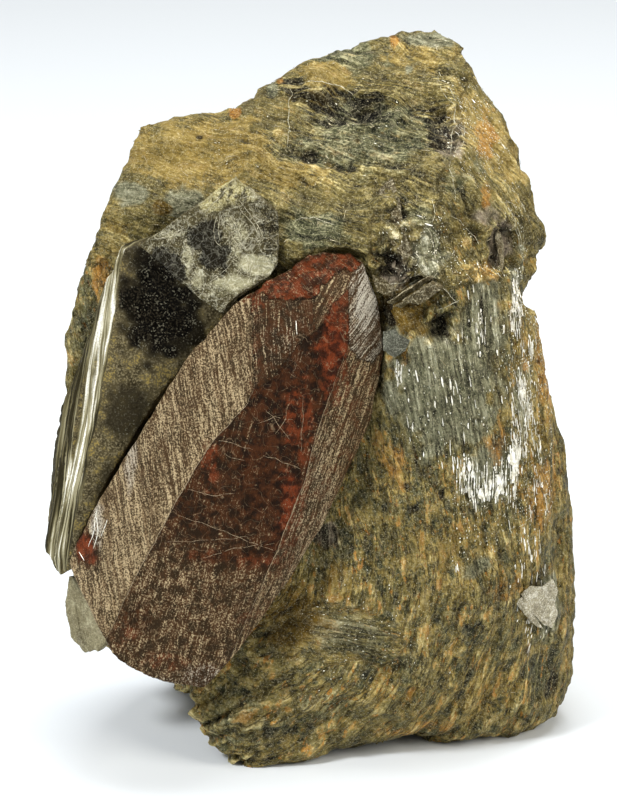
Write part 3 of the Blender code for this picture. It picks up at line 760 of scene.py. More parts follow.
# Patches on the mass: centre and half sizes, and how strong the patch is
MASS_PATCHES = {
    "amber": [
        (10.8, -9.6, 62.6, 2.9, 5, 2.4, 1.0), (13.6, -10.5, 60.8, 1.6, 4, 1.2, 0.6),
        (-20.2, -1.2, 74.0, 1.3, 4, 0.9, 1.0), (24.6, -7.2, 67.6, 1.8, 3, 0.8, 0.6),
        (-3.6, -15.5, 21.0, 4.4, 6, 4.4, 0.72), (1.6, -14.5, 27.5, 2.6, 5, 3.0, 0.45),
        (13.0, -15.5, 9.0, 3.0, 5, 3.0, 0.3), (17.5, -14.5, 31.0, 3.0, 5, 3.0, 0.3),
    ],
    # Dark: partly dark mica, mostly painted shade in the pits, pockets and seams and under the ledges
    "dark": [
        (-2.2, 7.6, 87.0, 2.6, 5.0, 1.4, 1.4), (1.6, 7.2, 86.7, 3.8, 5.0, 1.9, 1.6),
        (5.2, 6.6, 86.0, 3.4, 5.0, 1.4, 1.3), (8.2, 6.2, 85.4, 2.0, 5.0, 0.8, 0.8),
        (2.6, 6.5, 84.4, 4.4, 4.0, 0.5, 0.9), (4.0, 8.5, 87.6, 4.0, 4.0, 0.35, 0.8),
        (15.3, 3.0, 81.4, 0.9, 6.0, 4.6, 0.55), (9.6, 0.0, 80.2, 2.0, 3, 0.6, 0.7),
        (3.0, 3.0, 82.6, 3.4, 3, 0.5, 0.5), (8.6, 3.0, 82.0, 2.4, 3, 0.5, 0.5),
        (-4.0, 3.0, 82.4, 1.2, 3, 1.6, 0.35), (12.8, 5.0, 85.6, 1.2, 3, 0.7, 0.5),
        (4.0, 2.0, 81.0, 9.0, 6, 3.0, 0.28), (6.8, -0.6, 79.0, 1.6, 3, 0.5, 0.5),
        (13.4, -3.6, 78.0, 0.9, 3, 1.2, 0.5), (-1.1, 1.0, 80.6, 1.3, 3, 0.9, 0.8),
        (3.5, -0.7, 80.0, 1.6, 3, 0.8, 0.8),
        (19.0, 2.3, 82.4, 1.0, 3, 1.1, 0.7), (10.3, -6.3, 75.0, 1.6, 3, 1.1, 0.7),
        (9.8, -9.2, 68.2, 3.2, 5, 3.0, 1.0),
        (9.6, -7.0, 74.6, 1.2, 4, 1.6, 0.7), (12.6, -9.8, 66.8, 2.0, 5, 1.6, 0.7),
        (24.9, -1.5, 71.5, 1.7, 4, 1.5, 1.0), (24.0, -2.0, 69.6, 0.8, 4, 2.6, 0.6),
        (16.6, 2.6, 83.4, 2.3, 6, 2.8, 1.2), (15.9, -11.0, 61.0, 2.1, 5, 2.1, 1.0),
        (8.6, -10.0, 62.6, 0.9, 4, 2.2, 0.7), (21.5, -8.7, 62.4, 0.5, 4, 2.4, 0.9),
        (19.6, -9.8, 61.6, 0.35, 4, 1.8, 0.7), (11.9, -14.8, 40.1, 0.7, 3, 0.55, 1.0),
        (14.6, -14.6, 42.2, 0.6, 3, 1.2, 1.0), (16.3, -14.7, 39.0, 0.6, 3, 0.8, 1.0),
        (12.6, -15.2, 37.1, 0.9, 3, 0.7, 0.9), (1.0, -12.7, 32.0, 1.4, 4, 1.8, 1.0),
        (8.6, -15.2, 26.4, 0.35, 4, 2.6, 0.75), (28.1, -9.8, 14.4, 1.3, 4, 1.0, 0.6),
        (32.0, -4.9, 8.4, 0.7, 4, 3.0, 0.7), (-15.6, 2.2, 82.0, 0.5, 3, 0.4, 0.8),
        (-20.4, 2.5, 82.5, 0.4, 3, 0.35, 0.7), (24.3, -11.0, 38.2, 0.4, 4, 1.6, 0.7),
    ],
    "plum": [
        (10.3, -8.5, 67.0, 2.4, 4, 2.4, 1.0), (24.6, -2.0, 69.4, 1.8, 4, 2.8, 1.0),
        (22.8, -2.4, 73.4, 2.6, 4, 1.2, 0.45), (1.2, -12.7, 32.4, 1.8, 4, 1.6, 0.7),
        (17.2, 1.0, 82.4, 2.2, 5, 3.0, 0.6),
    ],
    "ochre": [
        (-16.5, 3, 80.5, 11, 9, 4.6, 0.75), (-3.0, 0.0, 78.6, 6, 6, 1.8, 0.75),
        (0.5, 10, 88.6, 3.6, 5, 1.8, 0.9), (13.5, 13, 90.6, 5.0, 6, 1.5, 0.6),
        (20.5, 4.5, 85.5, 3.2, 7, 5.5, 0.75), (24.5, 7.0, 78.5, 3.4, 7, 5.0, 0.75),
        (29.2, -4.5, 52.0, 4.2, 9, 15.0, 0.85), (29.5, -5.0, 32.0, 3.6, 8, 8.0, 0.7),
        (18.0, -14.5, 30.5, 6.0, 5, 5.0, 0.62), (9.5, -13.5, 42.0, 3.0, 5, 5.0, 0.65),
        (-3.0, -15.5, 21.5, 4.6, 6, 4.6, 0.9), (2.5, -14.5, 27.0, 3.0, 5, 3.0, 0.6),
        (22.0, -10.5, 9.0, 7.0, 7, 4.6, 0.62), (7.5, -15.0, 12.0, 4.6, 5, 2.6, 0.55),
        (16.0, -15.0, 18.0, 5.0, 5, 3.0, 0.5), (22.0, -7.5, 67.2, 3.8, 5, 1.5, 0.85),
        (-27.0, -1.5, 67.0, 3.4, 6, 6.5, 0.55), (24.0, -10.5, 60.5, 2.6, 5, 4.0, 0.55),
    ],
    "rust": [
        (19.8, 2.5, 86.5, 1.3, 4, 1.6, 0.8), (21.5, 7.0, 88.0, 1.0, 4, 1.4, 0.75),
        (22.4, 6.5, 81.5, 1.7, 5, 2.3, 0.75), (22.3, -7.5, 67.0, 3.0, 5, 1.2, 0.45),
        (-5.0, 9.5, 88.0, 0.8, 4, 0.6, 0.9), (-11.0, 6.5, 84.8, 0.8, 4, 0.6, 0.9),
        (10.2, 15.0, 92.0, 0.6, 4, 0.6, 0.9), (11.2, -12.6, 57.4, 0.6, 3, 1.4, 0.55),
        (10.3, -12.0, 43.0, 2.0, 4, 2.4, 0.6), (29.8, -5.5, 36.0, 2.4, 6, 5.0, 0.62),
        (30.8, -1.0, 52.0, 1.8, 7, 9.0, 0.75), (27.5, -7.5, 57.0, 1.2, 4, 6.0, 0.5),
        (15.0, -13.5, 4.0, 7.0, 6, 1.4, 0.6), (24.0, -12.5, 45.0, 1.6, 4, 3.0, 0.5),
        (-28.7, 0.5, 64.0, 1.2, 5, 2.6, 0.6), (24.5, -12.0, 24.5, 2.4, 4, 2.0, 0.5),
        (22.0, -2.0, 76.0, 0.9, 4, 1.6, 0.6),
    ],
    "green": [
        (-6.5, 2, 81.2, 4.6, 5, 1.2, 0.5), (7.0, 3.0, 82.5, 9.0, 7, 4.6, 0.8),
        (4.0, 14.0, 90.4, 5.5, 6, 1.8, 0.9), (18.0, -3.0, 78.0, 1.8, 5, 1.8, 0.7),
        (21.5, 1.0, 79.2, 1.4, 4, 1.4, 0.7), (-0.5, -6.0, 72.6, 5.0, 5, 2.2, 0.85),
        (31.2, -5.0, 28.5, 1.8, 5, 2.6, 0.85), (19.3, -14.4, 29.0, 1.0, 4, 1.1, 0.8),
        (5.5, 6.5, 84.6, 4.5, 4, 1.3, 0.7), (-30.0, 0.0, 57.0, 2.4, 6, 7.0, 0.6),
        (30.0, -8.0, 11.0, 2.6, 5, 5.0, 0.6), (12.0, -15.5, 15.5, 3.0, 5, 3.2, 0.5),
        (-11.0, -14.0, 7.0, 4.0, 6, 4.5, 0.6), (1.0, -15.0, 9.0, 3.0, 5, 2.2, 0.55),
        (2.5, -13.0, 28.0, 2.4, 5, 4.0, 0.6), (12.9, -6.7, 74.7, 2.0, 4, 1.8, 0.5),
    ],
    "silver": [
        (16.4, -13.2, 52.5, 7.2, 6, 8.5, 0.9), (21.5, -9.5, 60.5, 3.6, 6, 5.5, 0.75),
        (22.5, -12.0, 41.0, 3.6, 6, 4.6, 0.8), (27.2, -6.5, 50.0, 1.4, 5, 7.0, 0.62),
        (26.0, -4.0, 63.0, 1.0, 5, 4.5, 0.7), (22.7, -3.0, 73.6, 2.6, 5, 1.6, 0.35),
        (4.0, -15.6, 19.6, 6.4, 4, 3.6, 0.45), (20.6, -14.0, 28.6, 2.2, 4, 1.3, 0.75),
        (14.6, -8.0, 70.2, 2.4, 5, 4.0, 0.7), (10.0, -8.0, 72.6, 2.4, 5, 1.4, 0.3),
        (9.6, -12.5, 59.2, 1.8, 4, 1.7, 1.0), (12.6, -12.5, 58.0, 1.2, 4, 1.4, 0.9),
        (-6.0, 9.0, 87.0, 0.9, 4, 0.6, 0.9), (12.0, 11.5, 89.6, 0.7, 4, 0.5, 0.9),
        (14.5, 16.0, 92.2, 3.8, 4, 0.8, 0.8), (30.8, -5.5, 19.6, 2.2, 5, 4.2, 0.9),
        (25.5, -10.2, 42.2, 1.0, 3, 1.9, 1.0), (-24.6, 0.0, 75.4, 2.2, 5, 1.3, 1.0),
        (-17.4, -1.0, 74.6, 3.4, 5, 1.9, 0.8), (27.2, -1.6, 68.2, 0.5, 3, 3.4, 0.8),
    ],
}

# Where the mass is made paler in tone, mostly on its right face and sides
PALER_PATCHES = [
    (21.5, 4.0, 84.0, 4.2, 10, 8.0, 1.0), (18.0, 4.0, 88.0, 1.2, 6, 2.4, 0.8),
    (22.0, -7.5, 67.2, 4.0, 5, 1.6, 0.7), (29.5, -4.5, 50.0, 3.0, 9, 14.0, 0.5),
    (14.0, -8.0, 71.5, 5.0, 6, 5.0, 0.35), (25.0, 3.0, 75.0, 3.0, 8, 5.0, 0.7),
    (-0.5, 8.5, 87.9, 3.0, 5, 0.6, 0.4), (-26.0, -1.0, 66.0, 3.0, 6, 6.0, 0.3),
]

# Where the worn surface is smooth and even in tone
EVEN_PATCHES = [
    (-18.0, 3, 79.5, 10, 9, 5.5, 1.0), (-6.0, 4, 78.0, 7, 7, 1.8, 0.9), (1.5, 9, 88.8, 4.5, 6, 1.0, 0.9),
    (-7.0, 6, 84.5, 4.0, 6, 2.4, 0.8), (10.0, 11, 90.0, 5, 6, 1.2, 0.6), (22.0, 5, 84.0, 3, 8, 5.0, 0.5),
    (-24.0, 2, 74.0, 5, 8, 4.0, 0.6), (0.0, -4, 76.0, 5, 5, 1.4, 0.6),
]

# Hollows in the front, as how deep each is and its outline in X and Z
HOLLOWS = [
    (0.45, [
        (-3.6, 88.6), (-3.2, 84.4), (-3.7, 80.2), (2.0, 78.2), (8.0, 77.0), (13.5, 79.0), (15.6, 84.0),
        (13.0, 87.4), (8.0, 86.2), (3.0, 88.2),
    ]),
    (1.1, [(15.0, 85.4), (17.0, 86.2), (18.6, 84.0), (18.4, 81.6), (16.4, 81.0), (15.2, 82.6)]),
    (0.8, [(4.6, 85.4), (6.6, 85.9), (9.2, 85.2), (10.6, 83.9), (8.6, 83.6), (5.6, 84.1)]),
    (0.7, [(-1.8, 81.2), (0.6, 81.8), (2.6, 81.0), (5.6, 80.6), (5.2, 79.4), (1.8, 79.7), (-1.2, 80.2)]),
    (0.9, [
        (-1.8, 85.5), (-1.2, 87.2), (1.7, 87.6), (4.2, 86.7), (5.8, 85.6), (6.2, 84.4), (2.9, 83.9),
        (-0.5, 84.4),
    ]),
    (1.3, [
        (8.2, 69.8), (10.2, 70.6), (12.0, 69.6), (14.6, 66.6), (12.4, 65.0), (9.2, 65.0), (7.9, 66.8),
    ]),
    (0.7, [(9.4, 76.2), (11.6, 76.6), (12.6, 75.2), (11.4, 73.8), (9.2, 74.4)]),
    (0.8, [(19.2, 74.8), (20.4, 73.6), (21.8, 71.4), (21.0, 70.4), (19.6, 72.2), (18.4, 74.0)]),
    (1.4, [
        (22.1, 69.6), (23.6, 72.0), (25.4, 72.0), (26.1, 70.4), (26.5, 67.4), (26.2, 65.9), (24.9, 66.3),
        (23.2, 67.5),
    ]),
    (2.2, [(14.3, 61.4), (15.6, 62.6), (17.6, 62.4), (17.3, 60.0), (16.0, 59.4), (14.9, 59.7)]),
    (0.9, [(8.5, 64.4), (11.4, 64.2), (14.0, 63.2), (13.8, 60.6), (10.0, 60.4), (8.6, 62.0)]),
]

# Where near-white slips of bare mica paint in flashes of light
GLINT_ZONES = [
    (27.0, -5.5, 50.5, 0.5, 4, 2.2, 0.9), (25.9, -4.5, 61.0, 0.6, 5, 3.4, 1.0),
    (28.2, -2.5, 55.5, 0.4, 4, 1.8, 0.8), (27.6, -5.0, 46.0, 0.5, 5, 3.0, 0.5),
    (25.6, -10.2, 42.0, 0.9, 4, 1.8, 1.0), (22.2, -12.4, 40.0, 3.2, 4, 2.2, 0.85),
    (19.2, -13.2, 41.6, 1.4, 4, 2.2, 0.7), (24.5, -11.2, 37.8, 2.2, 4, 1.2, 0.6),
    (17.6, -13.5, 53.6, 0.4, 3, 0.7, 0.9), (10.5, -12.9, 54.8, 0.4, 3, 1.2, 0.9),
    (16.4, -13.2, 50.5, 5.5, 6, 7.5, 0.012), (21.0, -9.5, 60.0, 2.5, 5, 4.5, 0.04),
    (27.5, -7.5, 44.0, 3.0, 6, 12.0, 0.08), (28.5, -8.5, 24.0, 2.5, 6, 8.0, 0.04),
    (13.5, -7.0, 74.0, 0.9, 4, 1.0, 0.08), (22.0, 4.0, 82.0, 4.0, 8, 7.0, 0.004),
    (18.4, -13.8, 30.0, 1.0, 4, 1.2, 0.1),
]
# Where larger ones paint in a white glare
GLARE_ZONES = [
    (25.8, -10.0, 42.2, 0.8, 4, 1.6, 1.0), (23.2, -12.0, 38.8, 1.6, 4, 1.2, 0.6),
    (19.6, -13.0, 40.4, 0.7, 4, 2.0, 0.5), (26.9, -5.5, 50.6, 0.4, 4, 1.5, 0.6),
    (25.8, -4.0, 62.6, 0.5, 4, 1.6, 0.5),
]
# Where small pale scales paint in sparkle
SPARKLE_ZONES = [
    (21.5, 4.0, 84.0, 4.0, 9, 7.0, 0.8), (17.4, 4.0, 84.0, 0.8, 6, 6.0, 0.6),
    (23.0, -8.0, 66.8, 3.5, 6, 1.5, 0.8), (14.0, -8.0, 70.0, 5.0, 6, 5.0, 0.6),
    (28.0, -6.0, 48.0, 4.0, 8, 18.0, 0.7), (18.0, -13.0, 50.0, 7.0, 6, 9.0, 0.14),
    (22.0, -12.5, 36.0, 5.0, 6, 6.0, 0.4), (6.0, -14.0, 20.0, 9.0, 6, 8.0, 0.12),
    (0.0, 3.0, 83.0, 18.0, 9, 7.0, 0.02), (26.0, 0.0, 72.0, 2.0, 6, 5.0, 0.5),
    (13.6, -7.0, 74.0, 0.7, 4, 1.0, 0.6),
]
# Which ways the slips and the hairs lean, and how many corners a loose plate has
GLINT_LEAN = (-0.15, -0.15, 0.25)
HAIR_LEAN = (0.9, -0.2, -0.45)
FLAKE_CORNERS = 6

# The books of the mass: which way their sheets face
CROWN_SHEETS = (0.28, 0.40, 0.87)
RIGHT_FACE_SHEETS = (0.28, 0.87, 0.28)
FLANK_SHEETS = (0.93, -0.30, 0.20)
JUMBLED_SHEETS = [
    (0.75, 0.60, -0.30), (0.20, 0.75, 0.62), (-0.55, 0.60, 0.58), (0.90, 0.10, 0.42), (0.35, -0.80, 0.50),
]
LINED_SHEETS = (0.10, 0.25, 0.95)
# How large the chunks of the jumble are
JUMBLE_SIZE = 4.2
# Below this height the sheets of the lower part curl round the foot of the red crystal
LOWER_TOP = 34.0
CROWN, RIGHT_FACE, JUMBLE, LOWER, FLANK, LINED = range(6)
# How lined, how even in tone and how chipped each book is
LINED_SHARE = (0.08, 0.35, 0.45, 0.90, 0.75, 0.95)
CALM_SHARE = (0.30, 0.35, 0.10, 0.15, 0.30, 0.20)
CHIPPED_SHARE = (0.85, 0.85, 1.05, 0.85, 0.80, 0.60)
# How much of the felt of hairs lies on each book
HAIR_SHARE = (1.0, 0.8, 2.0, 0.10, 0.0, 0.0)
# How stained the far side is
FAR_SIDE_SHARE = {"ochre": 0.62, "green": 0.6, "silver": 0.66, "rust": 0.5, "dark": 0.5}
# How far the pattern slides from each packet of sheets to the next
PACKET_SLIDE = np.array((7.31, 2.7, 3.17))


def book_index(places):
    """Which book each place belongs to, with ragged borders."""
    x, y, z = places.T
    ragged = 1.1 * rough_noise(places / 5.0, 3, 31)
    index = np.full(len(places), LOWER)
    index[z + ragged > 66.5] = CROWN
    index[(z > 66.0) & (x + 0.35 * (83 - z) + ragged > 18.5)] = RIGHT_FACE
    broken = 2.6 * noise(places / 2.6, 32)
    below_crown = (z + ragged > 66.2) & (z + 0.25 * (x - 10) + ragged + broken < 75.0)
    index[below_crown & (x + ragged > 7.0) & (x < 26.5)] = JUMBLE
    index[(x + ragged < -19.5) & (index == LOWER)] = FLANK
    lined = np.hypot((x - 4.0) / 7.2, (z - 19.4) / 4.0) + 0.2 * ragged < 1
    index[lined & (y < -8)] = LINED
    return index


def across_sheets(places, index):
    """Millimetres across the sheets of each place's own book."""
    bent = places + 0.9 * noise_vectors(places / 11.0, 41)
    swirl = 1.5 * noise_vectors(places / 4.5, 46)
    bent_x, bent_y, bent_z = bent.T
    below = np.minimum(bent_z - LOWER_TOP, 0)
    height = np.hypot(bent_x + 10.0 + 0.07 * (bent_z - LOWER_TOP), below * 0.85) + 0.30 * bent_y
    for book, sheets in ((CROWN, CROWN_SHEETS), (RIGHT_FACE, RIGHT_FACE_SHEETS), (FLANK, FLANK_SHEETS)):
        height = np.where(index == book, (bent + swirl * (book == CROWN)) @ unit(sheets), height)
    chip = cell_hash(np.floor(places / JUMBLE_SIZE + 0.35 * noise(places / 2.5, 44)[:, None]), 45)
    kind = np.floor(chip * len(JUMBLED_SHEETS) * 0.999).astype(int)
    for number, sheets in enumerate(JUMBLED_SHEETS):
        height = np.where((index == JUMBLE) & (kind == number), bent @ unit(sheets), height)
    return np.where(index == LINED, bent @ unit(LINED_SHEETS), height)


def packet_step(places, across, pitch, length, seed):
    """How far each packet of sheets stands out, from -1 to 1."""
    packet = np.floor(across / pitch)
    return noise(places / length + packet[:, None] * PACKET_SLIDE, seed)


def facets(places, sizes, seed):
    """Flat chips that each lean their own way, about so many millimetres across."""
    scaled = places / sizes
    base = np.floor(scaled)
    nearest = np.full(len(places), np.inf)
    height = np.zeros(len(places))
    for offset in itertools.product((-1, 0, 1), repeat=3):
        cell = base + np.array(offset)
        centre = cell + np.column_stack([0.15 + 0.7 * cell_hash(cell, seed + axis) for axis in range(3)])
        away = scaled - centre
        distance = (away**2).sum(axis=1)
        lean = np.column_stack([cell_hash(cell, seed + 5 + axis) - 0.5 for axis in range(3)])
        level = 2.0 * (away * lean).sum(axis=1) + 0.5 * (cell_hash(cell, seed + 9) - 0.5)
        closer = distance < nearest
        nearest = np.where(closer, distance, nearest)
        height = np.where(closer, level, height)
    return height


def inside(x, z, outline):
    """Which places lie within an outline given as X and Z."""
    within = np.zeros(len(x), dtype=bool)
    for (x_a, z_a), (x_b, z_b) in zip(outline, outline[1:] + outline[:1]):
        crosses = (z_a > z) != (z_b > z)
        within ^= crosses & (x < x_a + (z - z_a) * (x_b - x_a) / (z_b - z_a if z_b != z_a else 1.0))
    return within


def patch_mask(places, patches, seed):
    """0 to 1 over patches, with rough edges."""
    ragged = 0.30 * noise(places / 1.6, seed) + 0.18 * noise(places / 0.8, seed + 1)
    x, y, z = places.T
    mask = np.zeros(len(places))
    for mid_x, mid_y, mid_z, half_x, half_y, half_z, strength in patches:
        squares = ((x - mid_x) / half_x) ** 2 + ((y - mid_y) / half_y) ** 2 + ((z - mid_z) / half_z) ** 2
        away = np.sqrt(squares)
        mask = np.maximum(mask, strength * smooth_step(1.45, 0.55, away + ragged))
    return mask


def patch_masks(places, table, seed):
    """The masks of a table of named patches, by name."""
    return {name: patch_mask(places, table[name], seed + number) for number, name in enumerate(table)}


def stain_far_side(places, masks):
    """Carry the stains on round the sides and the back, where nothing in particular is picked out."""
    behind = smooth_step(13.0, 18.0, places[:, 1])
    for number, (name, share) in enumerate(FAR_SIDE_SHARE.items()):
        drift = smooth_step(0.05, 0.55, rough_noise(places / (9.0, 9.0, 14.0), 3, 60 + number))
        masks[name] = np.maximum(masks[name], share * behind * drift)


def room_to_neighbours(places, neighbours, reach=3.0):
    """Millimetres from each place to the nearest of the other pieces, up to a reach."""
    tree = search_tree(*neighbours)
    room = np.full(len(places), reach)
    for number, place in enumerate(places):
        found = tree.find_nearest(Vector(to_metres(place)), reach * MM)
        if found[0] is not None:
            room[number] = found[3] / MM
    return room


def worn_relief(places, index, across, masks, even, edges):
    """How far the ledges, chips and fibres of the mass stand out; its dark patches, painted shade, get torn
    edges too.
    """
    chipped = np.array(CHIPPED_SHARE)[index]
    ledges = 0.30 * np.round(1.8 * packet_step(places, across, 1.9, 8.0, 21))
    ledges += 0.22 * np.round(1.8 * packet_step(places, across, 1.0, 4.0, 22))
    lumps = rough_noise(places / 6.0, 4, 23)
    upright = np.isin(index, (LOWER, RIGHT_FACE, FLANK))[:, None]
    big_chips = facets(places, np.where(upright, (2.4, 3.5, 6.0), (5.0, 3.5, 2.6)), 130)
    small_chips = facets(places, np.where(upright, (1.1, 1.8, 2.8), (2.4, 1.8, 1.3)), 150)
    chips = 0.34 * big_chips + 0.24 * small_chips
    fibres = noise(places / 0.9, 24)
    calm = 1 - np.maximum(0.45 * masks["silver"], 0.6 * even)
    shift = calm * (chipped * spread(ledges, edges, 1, 0.3) + 0.12 * lumps + chipped * chips)
    torn = smooth_step(-0.45, 0.25, packet_step(places, across, 0.7, 2.6, 29) + 0.4 * fibres)
    # The dark patches, mostly painted shade, get torn edges and are sunk into the surface
    masks["dark"] = masks["dark"] * (0.35 + 0.65 * torn)
    return shift + (0.03 * fibres + 0.02 - 0.45 * masks["dark"])


def sink_hollows(places, normals, shift, edges):
    x, y, z = places.T
    ragged = 0.45 * noise(places / 0.9, 79) + 0.5 * noise(places / 2.1, 76)
    for depth, outline in HOLLOWS:
        sunk = inside(x + ragged, z + ragged, outline) & (normals[:, 1] < 0.3) & (y < 12)
        shift = shift - depth * spread(sunk.astype(float), edges, 2)
    return shift


def shape_foot(places, shift):
    """Step the lower left corner, and draw in the foot behind it."""
    x, y, z = places.T
    corner = smooth_step(-6.0, -10.0, x) * smooth_step(12.0, 7.0, z) * (y < -4)
    downhill = 0.8 * z - 0.6 * x
    steps = np.column_stack([np.floor(downhill / step) for step in (1.5, 1.0, 50.0)])
    shift = shift + corner * 1.5 * (cell_hash(steps, 80) - 0.5)
    return shift - 2.4 * smooth_step(-11.0, -17.0, x) * smooth_step(10.0, 4.0, z) * (y > -12)


def dress_mass(node, neighbours, material):
    """The mass, carved along its sheets and kept clear of the other pieces; the surface is given back."""
    obj, edges, places, normals = eased_copy(node, "mica_mass", MATRIX_GRID, normal_rounds=4, place_rounds=1)
    index = book_index(places)
    across = across_sheets(places, index)
    masks = patch_masks(places, MASS_PATCHES, 70)
    even = patch_mask(places, EVEN_PATCHES, 75)
    shift = worn_relief(places, index, across, masks, even, edges)
    shift = sink_hollows(places, normals, shift, edges)
    shift = spread(shape_foot(places, shift), edges, 1, 0.35)
    room = room_to_neighbours(places, neighbours)
    shift = np.minimum(shift, room - NEIGHBOUR_GAP)
    stain_far_side(places, masks)
    moved = places + normals * shift[:, None]
    moved[:, 2] = np.maximum(moved[:, 2], 0.0)
    set_places(obj, moved)
    lined = np.array(LINED_SHARE)[index] + 0.20 * noise(places / 4.0, 77)
    calm = np.array(CALM_SHARE)[index] + 0.8 * even + 0.25 * noise(places / 7.0, 78) - masks["dark"]
    masks["lined"] = np.clip(lined, 0, 1)
    masks["calm"] = np.clip(calm, 0, 1)
    masks["paler_patch"] = patch_mask(places, PALER_PATCHES, 73)
    # The relief attribute is painted shade: how far each point stands above its neighbours
    set_attributes(obj, {"sheet": across, "relief_shade": shift - spread(shift, edges, 10), **masks})
    shade(obj, 35)
    finish_piece(obj, "mica_matrix", material)
    return SimpleNamespace(
        obj=obj, places=moved, normals=normals, index=index, across=across, masks=masks, room=room
    )


# ---------------------------------------------------------------- loose flakes on the mass


def pick(surface, weights, count, rng):
    """Places on the mass drawn by weight, with the normals there."""
    chosen = rng.choice(len(weights), count, replace=False, p=weights / weights.sum())
    return chosen, surface.places[chosen], surface.normals[chosen]


def sheet_normals(surface, chosen, step=0.2):
    """The way the sheets face at chosen places, from how the count across them grows over a short step."""
    places = surface.places[chosen]
    index = surface.index[chosen]
    here = across_sheets(places, index)
    slopes = np.column_stack([across_sheets(places + step * axis, index) - here for axis in np.eye(3)])
    length = np.linalg.norm(slopes, axis=1)[:, None]
    return slopes / np.maximum(length, 1e-6)


def flat_flakes(name, centres, along, outward, sheets, halves, thickness, rng, batch=60):
    """Thin six-sided plates, each in its own plane, as one mesh; small batches keep the making quick."""
    whole = bmesh.new()
    for first in range(0, len(centres), batch):
        bm = bmesh.new()
        for number in range(first, min(first + batch, len(centres))):
            long_half, wide_half = halves[number]
            turn = Matrix((along[number] * long_half, outward[number] * wide_half, sheets[number]))
            turn = turn.transposed().to_4x4()
            turn.translation = centres[number]
            made = bmesh.ops.create_circle(bm, cap_ends=True, segments=FLAKE_CORNERS, radius=1.0, matrix=turn)
            slides = rng.uniform(-0.3, 0.3, (FLAKE_CORNERS, 2))
            for vert, (slide, lift) in zip(made["verts"], slides):
                slid = Vector(along[number]) * slide * long_half + Vector(outward[number]) * lift * wide_half
                vert.co += slid
        move_to_part(bm)
        part = bpy.data.meshes.new("flakes_part")
        bm.to_mesh(part)
        bm.free()
        whole.from_mesh(part)
        bpy.data.meshes.remove(part)
    obj = make_object(name, whole)
    thicken(obj, thickness)
    return obj


def dress_flakes(name, surface, weights, count, sizes, thickness, material, seed):
    """Flakes that stand along the sheets, just proud of the surface; weights say where they gather."""
    rng = np.random.default_rng(seed)
    weights = weights * ((surface.room > 0.8) & (surface.places[:, 2] > 1.5))
    chosen, places, normals = pick(surface, weights, count, rng)
    sheets = unit_rows(sheet_normals(surface, chosen) + 0.12 * rng.standard_normal((count, 3)))
    along = np.cross(normals, sheets)
    edge_on = np.linalg.norm(along, axis=1)
    use = edge_on > 0.35
    chosen, places, sheets = chosen[use], places[use], sheets[use]
    count = len(chosen)
    along = along[use] / edge_on[use][:, None]
    outward = np.cross(sheets, along)
    outward = outward * np.sign(np.einsum("ij,ij->i", outward, normals[use]))[:, None]
    (short, long), (narrow, wide), (sunk, proud) = sizes
    halves = np.column_stack([rng.uniform(short, long, count), rng.uniform(narrow, wide, count)])
    centres = places + outward * (rng.uniform(sunk, proud, count) - halves[:, 1])[:, None]
    obj = flat_flakes(name, centres, along, outward, sheets, halves, thickness, rng)
    own = {
        "sheet": surface.across[chosen] + rng.uniform(-30, 30, count),
        # A random tone for each flake, given through the painted relief shade
        "relief_shade": rng.uniform(-0.3, 0.25, count),
        **{mask: values[chosen] for mask, values in surface.masks.items()},
    }
    set_attributes(obj, {mask: np.repeat(values, FLAKE_CORNERS) for mask, values in own.items()})
    bake_modifiers(obj)
    finish_piece(obj, None, material)


def lay_slips(name, centres, along, facing, halves, thickness, material, rng):
    """Slips of mica, each given by its middle, the way it runs and the way it faces."""
    obj = flat_flakes(name, centres, along, np.cross(facing, along), facing, halves, thickness, rng)
    bake_modifiers(obj)
    finish_piece(obj, None, material)


def dress_hairs(name, surface, count, material, seed):
    """Fine pale hairs of frayed mica, felted over the crown and the broken part below it."""
    rng = np.random.default_rng(seed)
    weights = np.array(HAIR_SHARE)[surface.index]
    weights = weights * (surface.room > 0.5) * (1.15 - surface.masks["calm"]) * (surface.places[:, 2] > 2.0)
    _, places, normals = pick(surface, weights, count, rng)
    along = square_to(normals, np.array(HAIR_LEAN) + 0.75 * rng.standard_normal((count, 3)))
    facing = square_to(along, normals + 0.2 * rng.standard_normal((count, 3)))
    halves = np.column_stack([0.2 + 0.6 * rng.random(count) ** 2, 0.022 + 0.030 * rng.random(count)])
    centres = places + normals * rng.uniform(0.02, 0.12, count)[:, None]
    lay_slips(name, centres, along, facing, halves, 0.04, material, rng)


def dress_glints(name, surface, zones, count, sizes, material, seed):
    """Long narrow slips of pale bare mica, lying flush, that paint in the white flashes of the block."""
    rng = np.random.default_rng(seed)
    gathered = 0.15 + smooth_step(-0.1, 0.5, noise(surface.places / (0.8, 0.8, 2.6), seed))
    weights = patch_mask(surface.places, zones, 120) * (surface.room > 0.6) * gathered
    chosen, places, normals = pick(surface, weights, count, rng)
    sheets = sheet_normals(surface, chosen)
    along = unit_rows(np.cross(normals, sheets) + 0.04 * rng.standard_normal((count, 3)))
    facing = square_to(along, normals + 0.45 * rng.standard_normal((count, 3)) + np.array(GLINT_LEAN))
    (short, long), (narrow, wide) = sizes
    lengths = short + (long - short) * rng.random(count) ** 1.5
    widths = narrow + (wide - narrow) * rng.random(count) ** 2
    centres = places + normals * rng.uniform(0.02, 0.10, count)[:, None]
    lay_slips(name, centres, along, facing, np.column_stack([lengths, widths]), 0.05, material, rng)


# ---------------------------------------------------------------- the red crystal

# The two long ridges of the red crystal, as X at heights Z, from the foot up
LEFT_RIDGE = [
    (-29.3, 17.7), (-24.2, 28.6), (-19.0, 38.3), (-15.2, 44.8), (-13.3, 47.4), (-10.7, 50.3),
    (-9.0, 52.3), (-8.1, 54.6), (-8.4, 59.2), (-8.5, 64.4),
]
RIGHT_RIDGE = [
    (-15.1, 10.2), (-5.3, 33.1), (-1.6, 42.3), (-0.4, 47.5), (1.6, 53.3), (3.5, 58.6), (4.0, 60.8),
    (4.0, 66.4),
]
